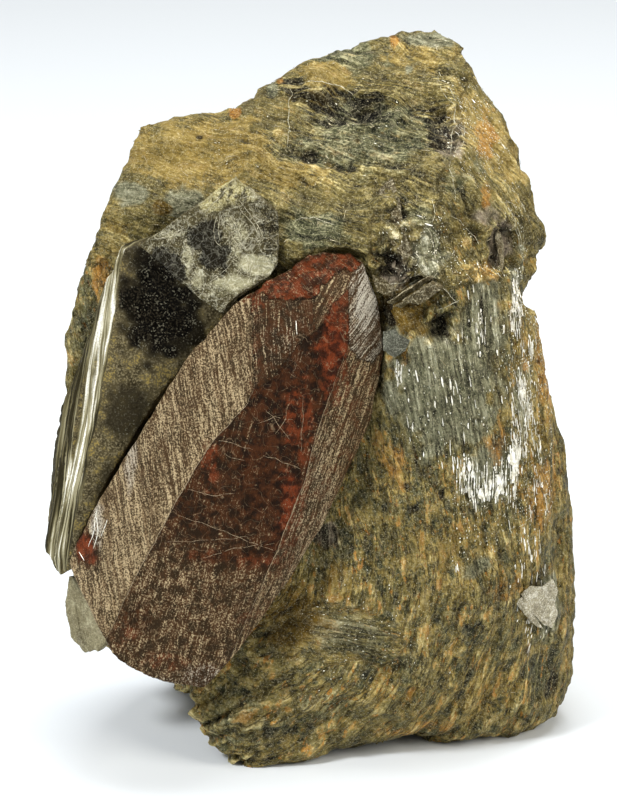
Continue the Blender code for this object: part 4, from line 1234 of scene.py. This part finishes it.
# The lower border of its broken brick-red top
BROKEN_TOP = [
    (-12.0, 64.6), (-8.8, 64.6), (-7.2, 65.4), (-6.2, 64.6), (-3.0, 64.9), (0.0, 65.6), (0.3, 66.8),
    (2.2, 68.0), (3.5, 68.6), (4.6, 68.0), (6.0, 68.9), (12.0, 68.3),
]
# Smaller faces near the top, as X and Z
RED_OUTLINES = {
    "purple": [
        (-8.6, 64.9), (-7.2, 65.6), (-3.0, 65.1), (0.0, 65.4), (-0.2, 61.7), (-2.3, 60.1), (-4.5, 57.2),
        (-5.9, 55.5), (-7.2, 54.4), (-8.2, 54.2), (-8.5, 59.2),
    ],
    "wedge": [
        (-0.5, 65.2), (0.3, 66.8), (2.2, 68.0), (3.5, 68.6), (4.5, 67.7), (3.8, 66.6), (1.6, 64.6),
        (0.4, 62.2), (-1.6, 60.2), (-0.4, 61.7),
    ],
    "plume_left": [(3.9, 66.9), (1.6, 64.6), (0.8, 62.2), (1.6, 59.6), (3.7, 57.4), (4.0, 60.8)],
    "plume_right": [
        (3.9, 66.9), (4.6, 68.2), (7.0, 69.0), (9.6, 66.0), (9.6, 59.0), (7.0, 56.2), (4.2, 58.6),
        (4.0, 60.8),
    ],
}
# Across which way the lines of each face run
RED_LINES = {
    "middle": (0.94, 0.0, -0.34),
    "left": (0.99, 0.0, 0.12),
    "right": (0.92, 0.0, -0.40),
    "top": (0.80, 0.30, 0.50),
    "back": (0.90, 0.0, -0.30),
    "purple": (1.0, 0.0, 0.02),
    "wedge": (0.80, 0.0, -0.60),
    "plume_left": (0.72, 0.0, 0.69),
    "plume_right": (0.60, 0.0, -0.80),
}
# How covered with beige fraying each face is
RED_FRAYED = {
    "middle": 0.12,
    "left": 0.80,
    "right": 0.66,
    "top": 0.20,
    "back": 0.70,
    "purple": 0.34,
    "wedge": 0.62,
    "plume_left": 0.22,
    "plume_right": 0.66,
}
RED_FACE_NAMES = list(RED_LINES)
RED_PATCHES = {
    "red": [
        (-8.5, -11, 64.0, 1.6, 5, 1.2, 0.8), (2.0, -15, 58.5, 2.2, 5, 6.0, 0.75),
        (-2.5, -17, 50.0, 2.0, 5, 5.0, 0.55), (-3.5, -18.5, 38.0, 1.8, 4, 6.0, 0.8),
        (-8.5, -19.6, 31.6, 4.0, 5, 0.9, 0.45), (-14.5, -19.6, 32.6, 3.0, 5, 0.7, 0.35),
        (-30.4, -15.5, 31.8, 1.8, 5, 2.0, 1.0), (-20.0, -22, 18.6, 3.6, 4, 1.2, 0.75),
        (-14.0, -18.5, 44.5, 1.2, 4, 4.0, 0.6), (-9.6, -21, 24.2, 0.8, 4, 0.8, 0.9),
        (-25.5, -21, 22.0, 1.8, 4, 1.6, 0.6), (-8.4, -15, 58.0, 0.8, 4, 5.0, 0.4),
        (-16.5, -22.5, 14.5, 1.4, 4, 0.6, 0.9),
    ],
    "lilac": [
        (-4.0, -14.6, 59.5, 3.0, 4, 4.0, 0.20), (-14.5, -22, 16.5, 3.6, 4, 1.4, 0.6),
        (-2.0, -16.0, 34.0, 5.0, 6, 14.0, 0.12), (-21.0, -22, 15.5, 2.5, 4, 1.0, 0.4),
    ],
    "bare": [
        (-30.4, -15.5, 31.8, 2.0, 5, 2.2, 2.0), (-4.0, -16.5, 52.5, 4.6, 5, 4.5, 0.5),
        (1.2, -15.5, 57.5, 2.8, 5, 7.0, 0.6), (-5.0, -18, 43.0, 4.6, 5, 6.0, 0.4),
        (-4.6, -19.5, 33.0, 2.0, 4, 4.0, 0.6), (-12.0, -19.5, 32.4, 5.0, 4, 0.9, 0.5),
        (-24.0, -21.5, 24.0, 2.0, 4, 2.0, 0.5),
    ],
    # Silvery patches: pale lilac mica, partly painted sheen and glints at the plume and the outer edge
    "silvery": [
        (6.4, -10.5, 64.5, 1.5, 5, 4.0, 1.0), (-29.0, -14.5, 34.5, 0.9, 4, 2.4, 0.9),
        (-24.5, -13.5, 43.0, 0.7, 4, 4.0, 0.6),
    ],
}


def ridge_at(ridge, z):
    """The X of a ridge, given as X and Z from the foot up, at each height."""
    ridge_x, ridge_z = np.array(ridge).T
    return np.interp(z, ridge_z, ridge_x)


def red_face(places, normals):
    """Which face of the red crystal each place is on, as a number in RED_FACE_NAMES."""
    x, _, z = places.T
    wavy = x + 0.12 * noise(places / 1.5, 36)
    ragged = 0.25 * noise(places / 0.9, 39)
    top_x, top_z = np.array(BROKEN_TOP).T
    broken = z + 0.35 * rough_noise(places / 1.2, 2, 37) > np.interp(x, top_x, top_z)
    areas = [("left", wavy < ridge_at(LEFT_RIDGE, z)), ("right", wavy > ridge_at(RIGHT_RIDGE, z))]
    areas += [(name, inside(x + ragged, z + ragged, outline)) for name, outline in RED_OUTLINES.items()]
    areas += [("top", broken), ("back", normals[:, 1] > 0.25)]
    face = np.full(len(places), RED_FACE_NAMES.index("middle"))
    for name, area in areas:
        face[area] = RED_FACE_NAMES.index(name)
    return face


def dress_red(node, material):
    obj, edges, places, normals = eased_copy(node, "red_crystal", RED_GRID)
    face = red_face(places, normals)
    line = np.zeros(len(places))
    for number, name in enumerate(RED_FACE_NAMES):
        line = np.where(face == number, places @ unit(RED_LINES[name]) + 9.0 * number, line)
    line += 0.16 * noise(places / 2.2, 40) + 0.09 * noise(places / 0.9, 49)
    masks = patch_masks(places, RED_PATCHES, 90)
    on = {name: (face == number).astype(float) for number, name in enumerate(RED_FACE_NAMES)}
    z = places[:, 2]
    frayed = np.array([RED_FRAYED[name] for name in RED_FACE_NAMES])[face]
    frayed += on["middle"] * 0.36 * smooth_step(37, 27, z + 0.35 * (places[:, 0] + 12))
    frayed += on["left"] * 0.12 * smooth_step(44, 36, z)
    # The silvery patches add fraying and lilac: partly painted sheen and glints
    frayed -= 0.40 * masks["bare"] - 0.35 * masks["silvery"]
    ridges = packet_step(places, line, 0.9, 7.0, 33)
    broken = on["top"] * (0.45 * noise(places / 1.3, 35) + 0.35 * packet_step(places, line, 1.1, 3.0, 38))
    shift = spread(0.12 * ridges + broken, edges, 1) + 0.12 * rough_noise(places / 4.0, 4, 34) - 0.12
    set_places(obj, places + normals * shift[:, None])
    low_on_sides = (on["left"] + on["right"]) * 0.40 * smooth_step(44, 34, z)
    shares = {
        "frayed": frayed,
        "specked": on["middle"] * smooth_step(48, 40, z) + low_on_sides + 0.3 * on["top"],
        "red": masks["red"] + 0.75 * on["top"] + 0.35 * on["plume_left"] + 0.38 * on["right"],
        "lilac": masks["lilac"] + 0.8 * masks["silvery"] + 0.6 * on["plume_right"],
    }
    set_attributes(obj, {name: np.clip(values, 0, 1) for name, values in shares.items()})
    # The relief attribute is painted shade: how far each point stands above its neighbours
    set_attributes(obj, {"line": line, "relief_shade": shift - spread(shift, edges, 8)})
    shade(obj, 35)
    finish_piece(obj, "red_biotite_crystal", material)
    return obj


# ---------------------------------------------------------------- the dark book and the clear plates

DARK_SHEETS = (0.073, -0.985, 0.158)
# The ridge between the front of the dark book and its edge, from the foot up
BRIGHT_RIDGE = [
    (-34.2, 28.0), (-32.6, 34.2), (-31.4, 39.5), (-30.4, 44.8), (-29.0, 50.1), (-27.8, 56.7),
    (-26.4, 63.2), (-25.2, 69.7),
]
DARK_PATCHES = {
    "window": [
        (-20.6, -6.5, 62.0, 5.0, 6, 7.2, 1.05), (-20.8, -6.0, 68.0, 4.4, 6, 3.4, 0.8),
        (-17.8, -7.5, 59.0, 3.4, 6, 3.6, 0.8), (-24.8, -9.0, 48.6, 3.6, 5, 3.4, 0.62),
        (-14.2, -7.0, 70.0, 2.4, 5, 2.0, 0.8), (-27.5, -14.0, 38.0, 1.6, 5, 5.0, 0.45),
    ],
    "khaki": [
        (-14.6, -8.0, 61.5, 1.4, 5, 3.2, 0.9), (-25.4, -8.5, 55.6, 1.4, 5, 2.4, 0.6),
        (-26.0, -9.5, 44.0, 1.2, 4, 1.6, 0.5), (-22.0, -12.0, 44.0, 2.4, 6, 3.0, 0.45),
        (-18.6, -9.0, 53.0, 1.6, 5, 3.0, 0.4),
    ],
}


def dress_dark(node, material):
    obj, _, places, normals = eased_copy(node, "dark_book", DARK_GRID)
    x, _, z = places.T
    line = places @ unit(DARK_SHEETS)
    edge_on = smooth_step(0.86, 0.70, normals @ unit(DARK_SHEETS))
    layered = edge_on * smooth_step(0.1, 0.45, -normals[:, 0])
    masks = patch_masks(places, DARK_PATCHES, 110)
    ledges = 0.20 * packet_step(places, line, 0.5, 6.0, 51) + 0.16 * packet_step(places, line, 1.3, 9.0, 52)
    shift = edge_on * ledges + 0.10 * rough_noise(places / 3.5, 4, 53) - 0.10
    set_places(obj, places + normals * shift[:, None])
    # The bright edge is a painted highlight: the light thrown back by the parted sheets, dimmer lower down
    away = ridge_at(BRIGHT_RIDGE, z) - x + 0.3 * noise(places / (1.5, 1.5, 4.0), 57)
    core = smooth_step(-0.5, 0.1, away) * smooth_step(2.6, 1.3, away)
    frayed = 0.75 + 0.35 * noise(places / (1.0, 1.0, 3.0), 58)
    dimmer_lower_down = 1 - 0.35 * smooth_step(44.0, 34.0, z)
    set_attributes(obj, {
        "line": line,
        "bright": np.clip(layered * core * frayed * dimmer_lower_down, 0, 1),
        "edge_on": layered,
        "window": masks["window"] * (1 - layered),
        "khaki": masks["khaki"],
    })
    shade(obj, 35)
    finish_piece(obj, "dark_mica_book", material)


def dress_plate(node, name, grid, sheets, material, patches):
    obj, edges, places, normals = eased_copy(node, name, grid)
    across = places @ unit(sheets)
    flat = smooth_step(0.6, 0.9, np.abs(normals @ unit(sheets)))
    steps = np.round(1.6 * rough_noise(places / 3.2, 2, 55)) * 0.16
    rim = (1 - flat) * 0.12 * packet_step(places, across, 0.4, 6.0, 56)
    shift = flat * spread(steps, edges, 1) + rim - 0.08
    set_places(obj, places + normals * shift[:, None])
    set_attributes(obj, patch_masks(places, patches, CLEAR_SEED))
    shade(obj, 25)
    finish_piece(obj, node.name, material)
    return obj


# Which way the sheets of the plates face
CLEAR_SHEETS = (0.10, -0.97, 0.22)
CORNER_SHEETS = (0.50, -0.80, 0.30)
POCKET_SHEETS = (0.20, -0.90, 0.40)
CLEAR_PATCHES = {
    "smoky": [
        (-14.6, -7, 71.8, 2.4, 8, 2.0, 1.1), (-13.4, -7, 69.6, 1.9, 8, 2.0, 1.1),
        (-20.5, -7, 68.4, 2.6, 8, 2.2, 1.1), (-6.0, -7, 72.2, 1.5, 8, 3.4, 0.56),
        (-7.4, -7, 75.2, 1.8, 8, 0.9, 0.5), (-12.4, -7, 67.8, 0.9, 8, 1.0, 0.7),
        (-18.8, -7, 66.6, 1.8, 8, 2.2, 0.9), (-16.4, -7, 64.6, 1.8, 8, 1.4, 0.5),
        (-10.8, -7, 72.8, 0.7, 8, 0.8, 0.4),
    ],
    "milky": [
        (-8.2, -7, 68.2, 2.8, 8, 1.3, 1.3), (-11.0, -7, 66.0, 3.2, 8, 1.1, 1.1),
        (-10.6, -7, 71.0, 0.6, 8, 1.8, 0.8), (-17.0, -7, 69.4, 0.7, 8, 2.4, 0.7),
        (-12.0, -7, 64.8, 2.6, 8, 0.6, 0.6), (-18.6, -7, 72.2, 3.0, 8, 0.5, 0.7),
        (-9.8, -7, 72.4, 0.8, 8, 2.2, 0.55), (-15.4, -7, 66.6, 1.0, 8, 1.2, 0.7),
        (-11.6, -7, 73.8, 0.8, 8, 1.2, 0.5), (-8.2, -7, 65.0, 1.6, 8, 1.0, 0.5),
    ],
    "amber": [
        (-11.4, -7, 77.6, 2.4, 8, 1.3, 1.0), (-13.8, -7, 76.0, 1.4, 8, 1.0, 0.8),
        (-9.0, -7, 76.8, 1.2, 8, 0.7, 0.6), (-20.2, -7, 73.4, 0.9, 4, 0.5, 0.8),
    ],
}
NO_PATCHES = {"smoky": [], "milky": [], "amber": []}
# The seeds of the patches on clear mica and of the unevenness of the loose sheets
CLEAR_SEED = 140
LEAF_SEED = 5
# How far apart the points of a thread are
THREAD_STEP = 0.5
BACKWARDS = Vector((0, 1, 0))
CORNER_PATCHES = {
    "smoky": [(-31.6, -8, 16.5, 1.0, 5, 1.4, 0.6)],
    "milky": [(-30.5, -8, 20.5, 1.2, 5, 3.0, 0.5)],
    "amber": [],
}

# A plane that runs through the front of the clear plate
CLEAR_FRONT = ((-21.7, -7.5, 71.0), (-9.7, -5.8, 79.0), (-4.8, -7.8, 69.0))
# The silvery leaves that cross the pocket, and a loose leaf beside the red crystal
POCKET_LEAVES = [
    [(8.9, -12.2, 64.6), (14.2, -11.8, 68.0), (15.0, -10.8, 67.6), (9.8, -11.2, 64.0)],
    [(9.8, -12.6, 64.2), (15.0, -12.4, 67.3), (15.6, -11.4, 66.8), (10.8, -11.6, 63.7)],
]
LOOSE_LEAVES = [
    [(7.0, -9.4, 67.4), (8.4, -9.6, 67.0), (10.0, -9.8, 65.8), (9.4, -9.9, 64.7), (7.6, -9.7, 65.2)],
]
# Sheets lying on the jumble, each corner as X, how far it stands off and Z
DULL_SHEETS = [
    [
        (7.9, 0.1, 77.3), (9.7, 0.1, 78.6), (10.6, 0.3, 76.3), (11.1, 0.5, 72.9), (12.3, 0.5, 70.0),
        (11.3, 0.2, 68.9), (9.1, 0.1, 71.7), (8.1, 0.1, 74.3),
    ],
    [(23.7, 0.5, 71.3), (24.4, 0.4, 68.8), (24.2, 0.2, 65.9), (23.7, 0.5, 67.1), (23.2, 0.5, 69.6)],
]
POCKET_LENS = [
    [
        (8.4, -13.0, 60.9), (10.0, -13.2, 61.3), (10.5, -13.3, 60.5), (11.9, -13.4, 59.9),
        (11.3, -13.4, 58.4), (9.9, -13.4, 57.5), (8.4, -13.2, 58.4),
    ],
]
# A white line along the edge of the side window: a painted highlight, as X, Y and Z
WINDOW_EDGE_HIGHLIGHT = [
    [(28.1, -20.0, 22.9), (29.1, -20.0, 21.4), (29.9, -20.0, 19.9), (30.6, -20.0, 18.9)],
    [(28.9, -20.0, 22.3), (29.6, -20.0, 21.0)],
]
SIDE_WINDOW = [
    [
        (27.0, -10.7, 23.2), (28.4, -9.8, 24.0), (30.0, -8.6, 23.4), (31.4, -7.4, 24.0),
        (32.2, -6.5, 22.0), (31.8, -7.0, 20.4), (32.3, -6.3, 18.6), (31.5, -7.4, 16.9),
        (30.3, -8.6, 17.8), (29.2, -9.5, 19.4), (28.2, -10.0, 20.6),
    ],
    [
        (26.2, -11.2, 22.4), (27.2, -10.8, 22.8), (28.6, -10.0, 20.4), (30.2, -8.8, 17.4),
        (29.4, -9.4, 17.9), (27.6, -10.7, 20.2),
    ],
]
# Fine pale threads on the mass, partly pale edges of its sheets and partly painted highlights along its
# ridges: points that each runs through, laid on the surface
PALE_THREADS = [
    [(15.7, 5, 88.9), (16.8, 4, 87.2), (18.0, 3, 85.5), (17.8, 1, 83.0), (17.2, -1, 80.6)],
    [(17.2, 0, 80.6), (17.5, -3, 78.2), (17.8, -4, 76.1)],
    [(-2.6, 8, 87.6), (0.6, 8, 88.1), (3.2, 7, 87.5), (5.2, 6, 86.3)],
    [(-3.4, 9, 87.5), (-3.8, 5, 84.6), (-3.9, 1, 81.4)],
    [(19.4, 2, 84.0), (18.8, 1, 82.2), (17.6, 0, 80.8)],
    [(24.0, -3, 74.6), (25.4, -3, 74.0), (26.6, -3, 72.4)],
    [(25.2, -3, 72.6), (26.0, -3, 71.0), (26.6, -3, 68.6), (26.9, -3, 66.4)],
    [(25.6, -3, 72.4), (26.5, -3, 70.4), (26.9, -3, 68.0)],
    [(15.9, 2, 89.6), (17.0, 1, 88.2), (18.0, 0, 86.4)],
    [(9.0, -12, 64.9), (11.6, -12, 66.6), (14.4, -12, 68.3)],
    [(11.6, -9, 70.6), (13.0, -9, 69.6), (14.6, -9, 67.6)],
    [(9.4, -12, 65.2), (12.0, -12, 66.9), (14.8, -12, 68.2)],
    [(10.6, -12, 64.2), (13.0, -12, 65.8), (15.4, -12, 67.2)],
    [(16.8, -6, 74.4), (18.6, -6, 73.0), (20.2, -6, 71.0), (21.4, -6, 69.4)],
    [(14.8, -6, 76.4), (15.2, -6, 74.8), (14.6, -6, 73.4)],
    [(26.6, -11, 22.4), (28.2, -10, 19.6), (30.0, -9, 17.6)],
    [(27.2, -10, 22.8), (29.6, -9, 19.6), (30.8, -8, 18.0)],
    [(9.8, -12, 64.5), (12.4, -12, 66.1), (15.2, -12, 67.6)],
    [(11.0, -12, 63.8), (13.4, -12, 65.4), (15.8, -12, 66.8)],
    [(13.4, -9, 73.6), (14.6, -9, 71.8), (15.2, -9, 69.6), (16.2, -9, 68.4)],
    [(10.0, -9, 70.4), (12.0, -9, 69.4), (13.6, -9, 68.0)],
    [(15.4, -13, 62.9), (17.0, -13, 63.6), (18.4, -12, 64.4)],
    [(-3.2, -6, 73.0), (-0.6, -6, 74.0), (2.2, -6, 73.2)],
    [(15.0, -12, 66.4), (16.4, -12, 65.6), (18.0, -12, 64.0)],
]
# Bright rims of parted sheets on the clear plate, as X and Z
CLEAR_THREADS = [
    [(-10.3, 76.6), (-9.0, 74.9), (-7.6, 72.9), (-7.2, 72.0), (-7.7, 70.6), (-8.5, 69.6)],
    [(-10.6, 76.2), (-9.4, 74.6), (-8.2, 73.0), (-7.8, 72.1), (-8.2, 71.0)],
    [(-12.5, 75.1), (-13.3, 73.8), (-13.6, 72.4), (-13.1, 71.1), (-12.5, 70.5)],
    [(-12.1, 74.9), (-12.8, 73.8), (-13.0, 72.5), (-12.6, 71.4)],
    [(-11.0, 70.7), (-11.4, 69.6), (-10.5, 68.7), (-9.7, 67.7)],
    [(-10.1, 76.7), (-8.8, 77.0), (-7.2, 76.8), (-5.9, 75.8), (-5.1, 74.8), (-4.9, 73.4), (-4.9, 68.7)],
    [(-14.8, 74.7), (-13.7, 75.9), (-12.4, 77.1), (-11.5, 78.4)],
    [(-10.1, 70.5), (-11.0, 71.7), (-11.4, 73.4), (-11.7, 74.7)],
    [(-14.6, 65.7), (-13.3, 66.6), (-11.9, 67.7), (-11.1, 68.7)],
    [(-16.5, 73.4), (-19.1, 71.9), (-20.8, 71.5), (-23.0, 71.5)],
    [(-11.6, 74.6), (-10.6, 73.2), (-9.8, 71.6), (-9.9, 70.6)],
    [(-8.8, 68.9), (-7.6, 67.8), (-7.2, 66.8)], [(-12.9, 66.2), (-11.2, 66.6), (-9.6, 66.4)],
    [(-9.2, 69.2), (-8.6, 68.0), (-8.9, 66.8)],
]
# Scratches and cleavage lines on the middle face of the red crystal, as X and Z
RED_THREADS = [
    [(-18.5, 37.8), (-12.0, 35.6), (-4.9, 32.7)],
    [(-20.1, 34.1), (-16.0, 34.3), (-12.0, 34.6), (-9.0, 35.0)],
    [(-15.3, 32.0), (-10.7, 33.5), (-5.6, 34.0)], [(-14.6, 47.5), (-11.0, 46.9), (-8.4, 46.2)],
    [(-7.2, 45.6), (-4.6, 44.8), (-2.3, 43.7)], [(-6.8, 51.6), (-5.2, 49.8), (-3.6, 47.6)],
    [(-1.9, 53.0), (-1.9, 50.0), (-2.3, 46.0)], [(-7.8, 49.6), (-5.6, 50.4), (-3.2, 50.2)],
    [(-5.4, 48.2), (-4.4, 49.8), (-4.0, 51.6)], [(-12.0, 45.4), (-9.6, 44.9)],
    [(-16.8, 41.0), (-13.4, 40.2), (-10.8, 40.6)],
]
# Painted glints: near-white threads on the outer edge of the red crystal, as X and Z
RED_GLINTS = [
    [(-29.2, 36.4), (-28.8, 34.0), (-29.3, 31.8)], [(-27.6, 35.6), (-28.4, 33.4)],
    [(-28.0, 38.2), (-27.0, 40.6), (-26.0, 42.8)], [(-30.0, 31.8), (-29.4, 34.2), (-28.8, 36.8)],
    [(-24.9, 44.2), (-23.6, 46.6)], [(-30.6, 30.0), (-31.4, 31.0)], [(-2.8, 62.6), (-2.6, 61.0)],
]


def on_plane(corners, x, z, lift):
    """A place of a given X and Z, so far in front of the plane through three corners."""
    origin, second, third = (np.array(corner) for corner in corners)
    facing = np.cross(second - origin, third - origin)
    y = origin[1] - ((x - origin[0]) * facing[0] + (z - origin[2]) * facing[2]) / facing[1]
    return (x, y - lift, z)


def at_y(y, paths):
    """Paths given as X and Z, drawn on one upright plane."""
    return [[(x, y, z) for x, z in path] for path in paths]


def make_leaves(name, leaves, thickness, material):
    """Thin sheets with broken outlines, as one mesh."""
    mathutils_noise.seed_set(LEAF_SEED)
    bm = bmesh.new()
    for corners in leaves:
        leaf = bm.faces.new([bm.verts.new(Vector(corner)) for corner in corners])
        cut = bmesh.ops.subdivide_edges(bm, edges=list(leaf.edges), cuts=4)
        for item in cut["geom_inner"]:
            if isinstance(item, bmesh.types.BMVert):
                item.co += 0.16 * mathutils_noise.noise_vector(item.co * 1.3)
    move_to_part(bm)
    obj = make_object(name, bm)
    thicken(obj, thickness)
    rim = obj.modifiers.new("rim", "BEVEL")
    rim.width = 0.3 * thickness * MM
    rim.segments = 2
    bake_modifiers(obj)
    set_attributes(obj, patch_masks(get_places(obj), NO_PATCHES, CLEAR_SEED))
    finish_piece(obj, None, material)


def lay_sheets(host, sheets):
    """Corners of sheets laid on a host's surface, each standing off by its middle number."""
    tree = search_tree(host)
    laid = []
    for sheet in sheets:
        corners = []
        for x, off, z in sheet:
            start = Vector(to_metres((x, -40.0, z)))
            place = tree.ray_cast(start, BACKWARDS)[0]
            corners.append((x, place.y / MM - FOOT_MIDDLE[1] - off, z))
        laid.append(corners)
    return laid


def make_threads(name, host, paths, radius, material, wobble):
    """Threads laid on a host's surface and sunk to half their thickness."""
    tree = search_tree(host)
    curve = bpy.data.curves.new(name, "CURVE")
    curve.dimensions = "3D"
    curve.bevel_depth = radius * MM
    curve.bevel_resolution = 0
    for path in paths:
        path = np.array(path, dtype=float)
        lengths = np.concatenate([[0], np.cumsum(np.linalg.norm(np.diff(path, axis=0), axis=1))])
        steps = np.linspace(0, lengths[-1], max(4, int(lengths[-1] / THREAD_STEP)))
        points = np.column_stack([np.interp(steps, lengths, path[:, axis]) for axis in range(3)])
        points += wobble * noise_vectors(points / 1.1, 160)
        starts = [Vector(to_metres(point)) - 10 * MM * BACKWARDS for point in points]
        found = [tree.ray_cast(start, BACKWARDS)[0] for start in starts]
        found = [place for place in found if place is not None]
        if len(found) < 3:
            continue
        spline = curve.splines.new("POLY")
        spline.points.add(len(found) - 1)
        for number, (target, place) in enumerate(zip(spline.points, found)):
            target.co = (*place, 1)
            target.radius = 0.35 + 0.65 * math.sin(math.pi * (number + 0.5) / len(found))
    lying = link_object(name, curve)
    mesh = evaluated_mesh(lying)
    bpy.data.objects.remove(lying)
    mesh.name = name
    obj = link_object(name, mesh)
    finish_piece(obj, None, material)


# ---------------------------------------------------------------- stage


def make_floor():
    bm = bmesh.new()
    bmesh.ops.create_grid(bm, x_segments=1, y_segments=1, size=4.0)
    floor = make_object("floor", bm)
    material, _, shader = new_material("floor_white")
    shader.inputs["Base Color"].default_value = (0.68, 0.72, 0.755, 1)
    floor.data.materials.append(material)


def add_softbox(name, place, side, power, colour=(1, 1, 1)):
    lamp = bpy.data.lights.new(name, "AREA")
    lamp.energy = power
    lamp.color = colour
    lamp.shape = "RECTANGLE"
    lamp.size = lamp.size_y = side * MM
    obj = link_object(name, lamp)
    obj.location = Vector(place) * MM
    aim = Vector(CAMERA_TARGET) * MM - obj.location
    obj.rotation_euler = aim.to_track_quat("-Z", "Y").to_euler()


def make_camera():
    camera = bpy.data.cameras.new("camera")
    camera.lens = CAMERA_LENS
    camera.sensor_width = 36.0
    camera.clip_start = 0.01
    obj = link_object("camera", camera)
    tilt = math.radians(CAMERA_ELEVATION)
    ahead = Vector((0, math.cos(tilt), -math.sin(tilt)))
    obj.location = (Vector(CAMERA_TARGET) - ahead * CAMERA_DISTANCE) * MM
    obj.rotation_euler = ahead.to_track_quat("-Z", "Y").to_euler()
    bpy.context.scene.camera = obj


def make_studio():
    scene = bpy.context.scene
    scene.view_settings.view_transform = "Standard"
    scene.world = bpy.data.worlds.new("room_light")
    scene.world.use_nodes = True
    background = scene.world.node_tree.nodes["Background"]
    background.inputs["Color"].default_value = (1.0, 0.99, 0.96, 1)
    background.inputs["Strength"].default_value = 0.30
    make_floor()
    add_softbox("key_left", (-420, -330, 520), 150, 5.3)
    add_softbox("fill_right", (460, -260, 360), 320, 3.0, (1.0, 0.94, 0.84))
    add_softbox("top", (60, 120, 620), 420, 4.2)


# ---------------------------------------------------------------- everything

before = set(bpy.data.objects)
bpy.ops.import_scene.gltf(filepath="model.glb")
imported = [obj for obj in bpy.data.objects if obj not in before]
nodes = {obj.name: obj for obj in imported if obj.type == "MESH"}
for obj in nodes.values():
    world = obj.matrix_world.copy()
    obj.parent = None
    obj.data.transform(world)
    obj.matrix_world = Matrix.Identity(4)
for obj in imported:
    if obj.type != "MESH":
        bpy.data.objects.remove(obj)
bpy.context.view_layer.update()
materials = make_materials()

others = [node for name, node in nodes.items() if name != "mica_matrix"]
mass = dress_mass(nodes["mica_matrix"], others, materials["mass"])
jumbled = 0.35 + 1.2 * (mass.index == JUMBLE) + 0.5 * (mass.index == FLANK)
flake_sizes = ((0.25, 0.9), (0.20, 0.45), (0.0, 0.12))
dress_flakes("mass_flakes", mass, jumbled, FLAKES, flake_sizes, 0.07, materials["flakes"], 7)
dress_hairs("mass_hairs", mass, HAIRS, materials["hairs"], 10)
# Each set of slips: where and how many, their half lengths and half widths, their finish and seed
slip_pieces = (
    ("mass_glints", GLINT_ZONES, GLINTS, ((0.10, 0.9), (0.03, 0.13)), "glints", 8),
    ("mass_sparkles", SPARKLE_ZONES, SPARKLES, ((0.04, 0.18), (0.03, 0.09)), "sparkle_highlights", 12),
    ("mass_glare", GLARE_ZONES, GLARES, ((0.3, 1.2), (0.12, 0.40)), "glints", 9),
)
for name, zones, count, sizes, finish, seed in slip_pieces:
    dress_glints(name, mass, zones, count, sizes, materials[finish], seed)

red = dress_red(nodes["red_biotite_crystal"], materials["red"])
dress_dark(nodes["dark_mica_book"], materials["dark"])
# Each plate: its node, name and slot, how its grid compares, its sheets, finish and patches
plates = (
    ("clear_mica_plate", "clear_plate", "clear_mica", 1.0, CLEAR_SHEETS, "clear", CLEAR_PATCHES),
    ("corner_mica_plate", "corner_plate", "corner_mica", 1.0, CORNER_SHEETS, "corner", CORNER_PATCHES),
    ("pocket_mica_sheet", "pocket_sheets", "pocket_mica", 0.6, POCKET_SHEETS, "pocket", NO_PATCHES),
)
made = {}
for node_name, name, slot, fineness, sheets, finish, patches in plates:
    grid = PLATE_GRID * fineness
    made[name] = dress_plate(nodes[node_name], name, grid, sheets, materials[finish], patches)

# Each set of loose sheets: their corners, how thick they are and their finish
leaf_pieces = (
    ("pocket_leaves", POCKET_LEAVES, 0.14, "pocket"),
    ("loose_leaves", LOOSE_LEAVES, 0.16, "pocket"),
    ("dull_sheets", lay_sheets(mass.obj, DULL_SHEETS), 0.16, "pocket"),
    ("pocket_lens", POCKET_LENS, 0.16, "lens"),
    ("side_window", SIDE_WINDOW, 0.16, "window"),
)
for name, leaves, thickness, finish in leaf_pieces:
    make_leaves(name, leaves, thickness, materials[finish])

clear_rims = [[on_plane(CLEAR_FRONT, x, z, lift=1.0) for x, z in path] for path in CLEAR_THREADS]
# Pale threads along the two ridges of the red crystal paint in the light that catches them
ridges = (LEFT_RIDGE[:8], RIGHT_RIDGE[:6])
# Each set of threads: what it lies on, its paths, slot and finish, its radius and how far it wanders
thread_pieces = (
    ("pale_threads", mass.obj, PALE_THREADS, "matrix_mica", "threads", 0.06, 0.30),
    # Painted highlight: a near-white line along the edge of the side window
    ("window_edge_highlight", mass.obj, WINDOW_EDGE_HIGHLIGHT, "matrix_mica", "glints", 0.13, 0.10),
    ("clear_rims", made["clear_plate"], clear_rims, "clear_mica", "threads", 0.045, 0.16),
    ("red_ridge_highlights", red, at_y(-24.0, ridges), "red_biotite", "red_threads", 0.045, 0.10),
    # Painted highlights: near-white glints on the outer edge of the red crystal
    ("red_glints", red, at_y(-20.0, RED_GLINTS), "red_biotite", "glints", 0.07, 0.20),
    ("red_scratches", red, at_y(-20.0, RED_THREADS), "red_biotite", "red_threads", 0.03, 0.16),
)
for name, host, paths, slot, finish, radius, wobble in thread_pieces:
    make_threads(name, host, paths, radius, materials[finish], wobble)
make_studio()
make_camera()
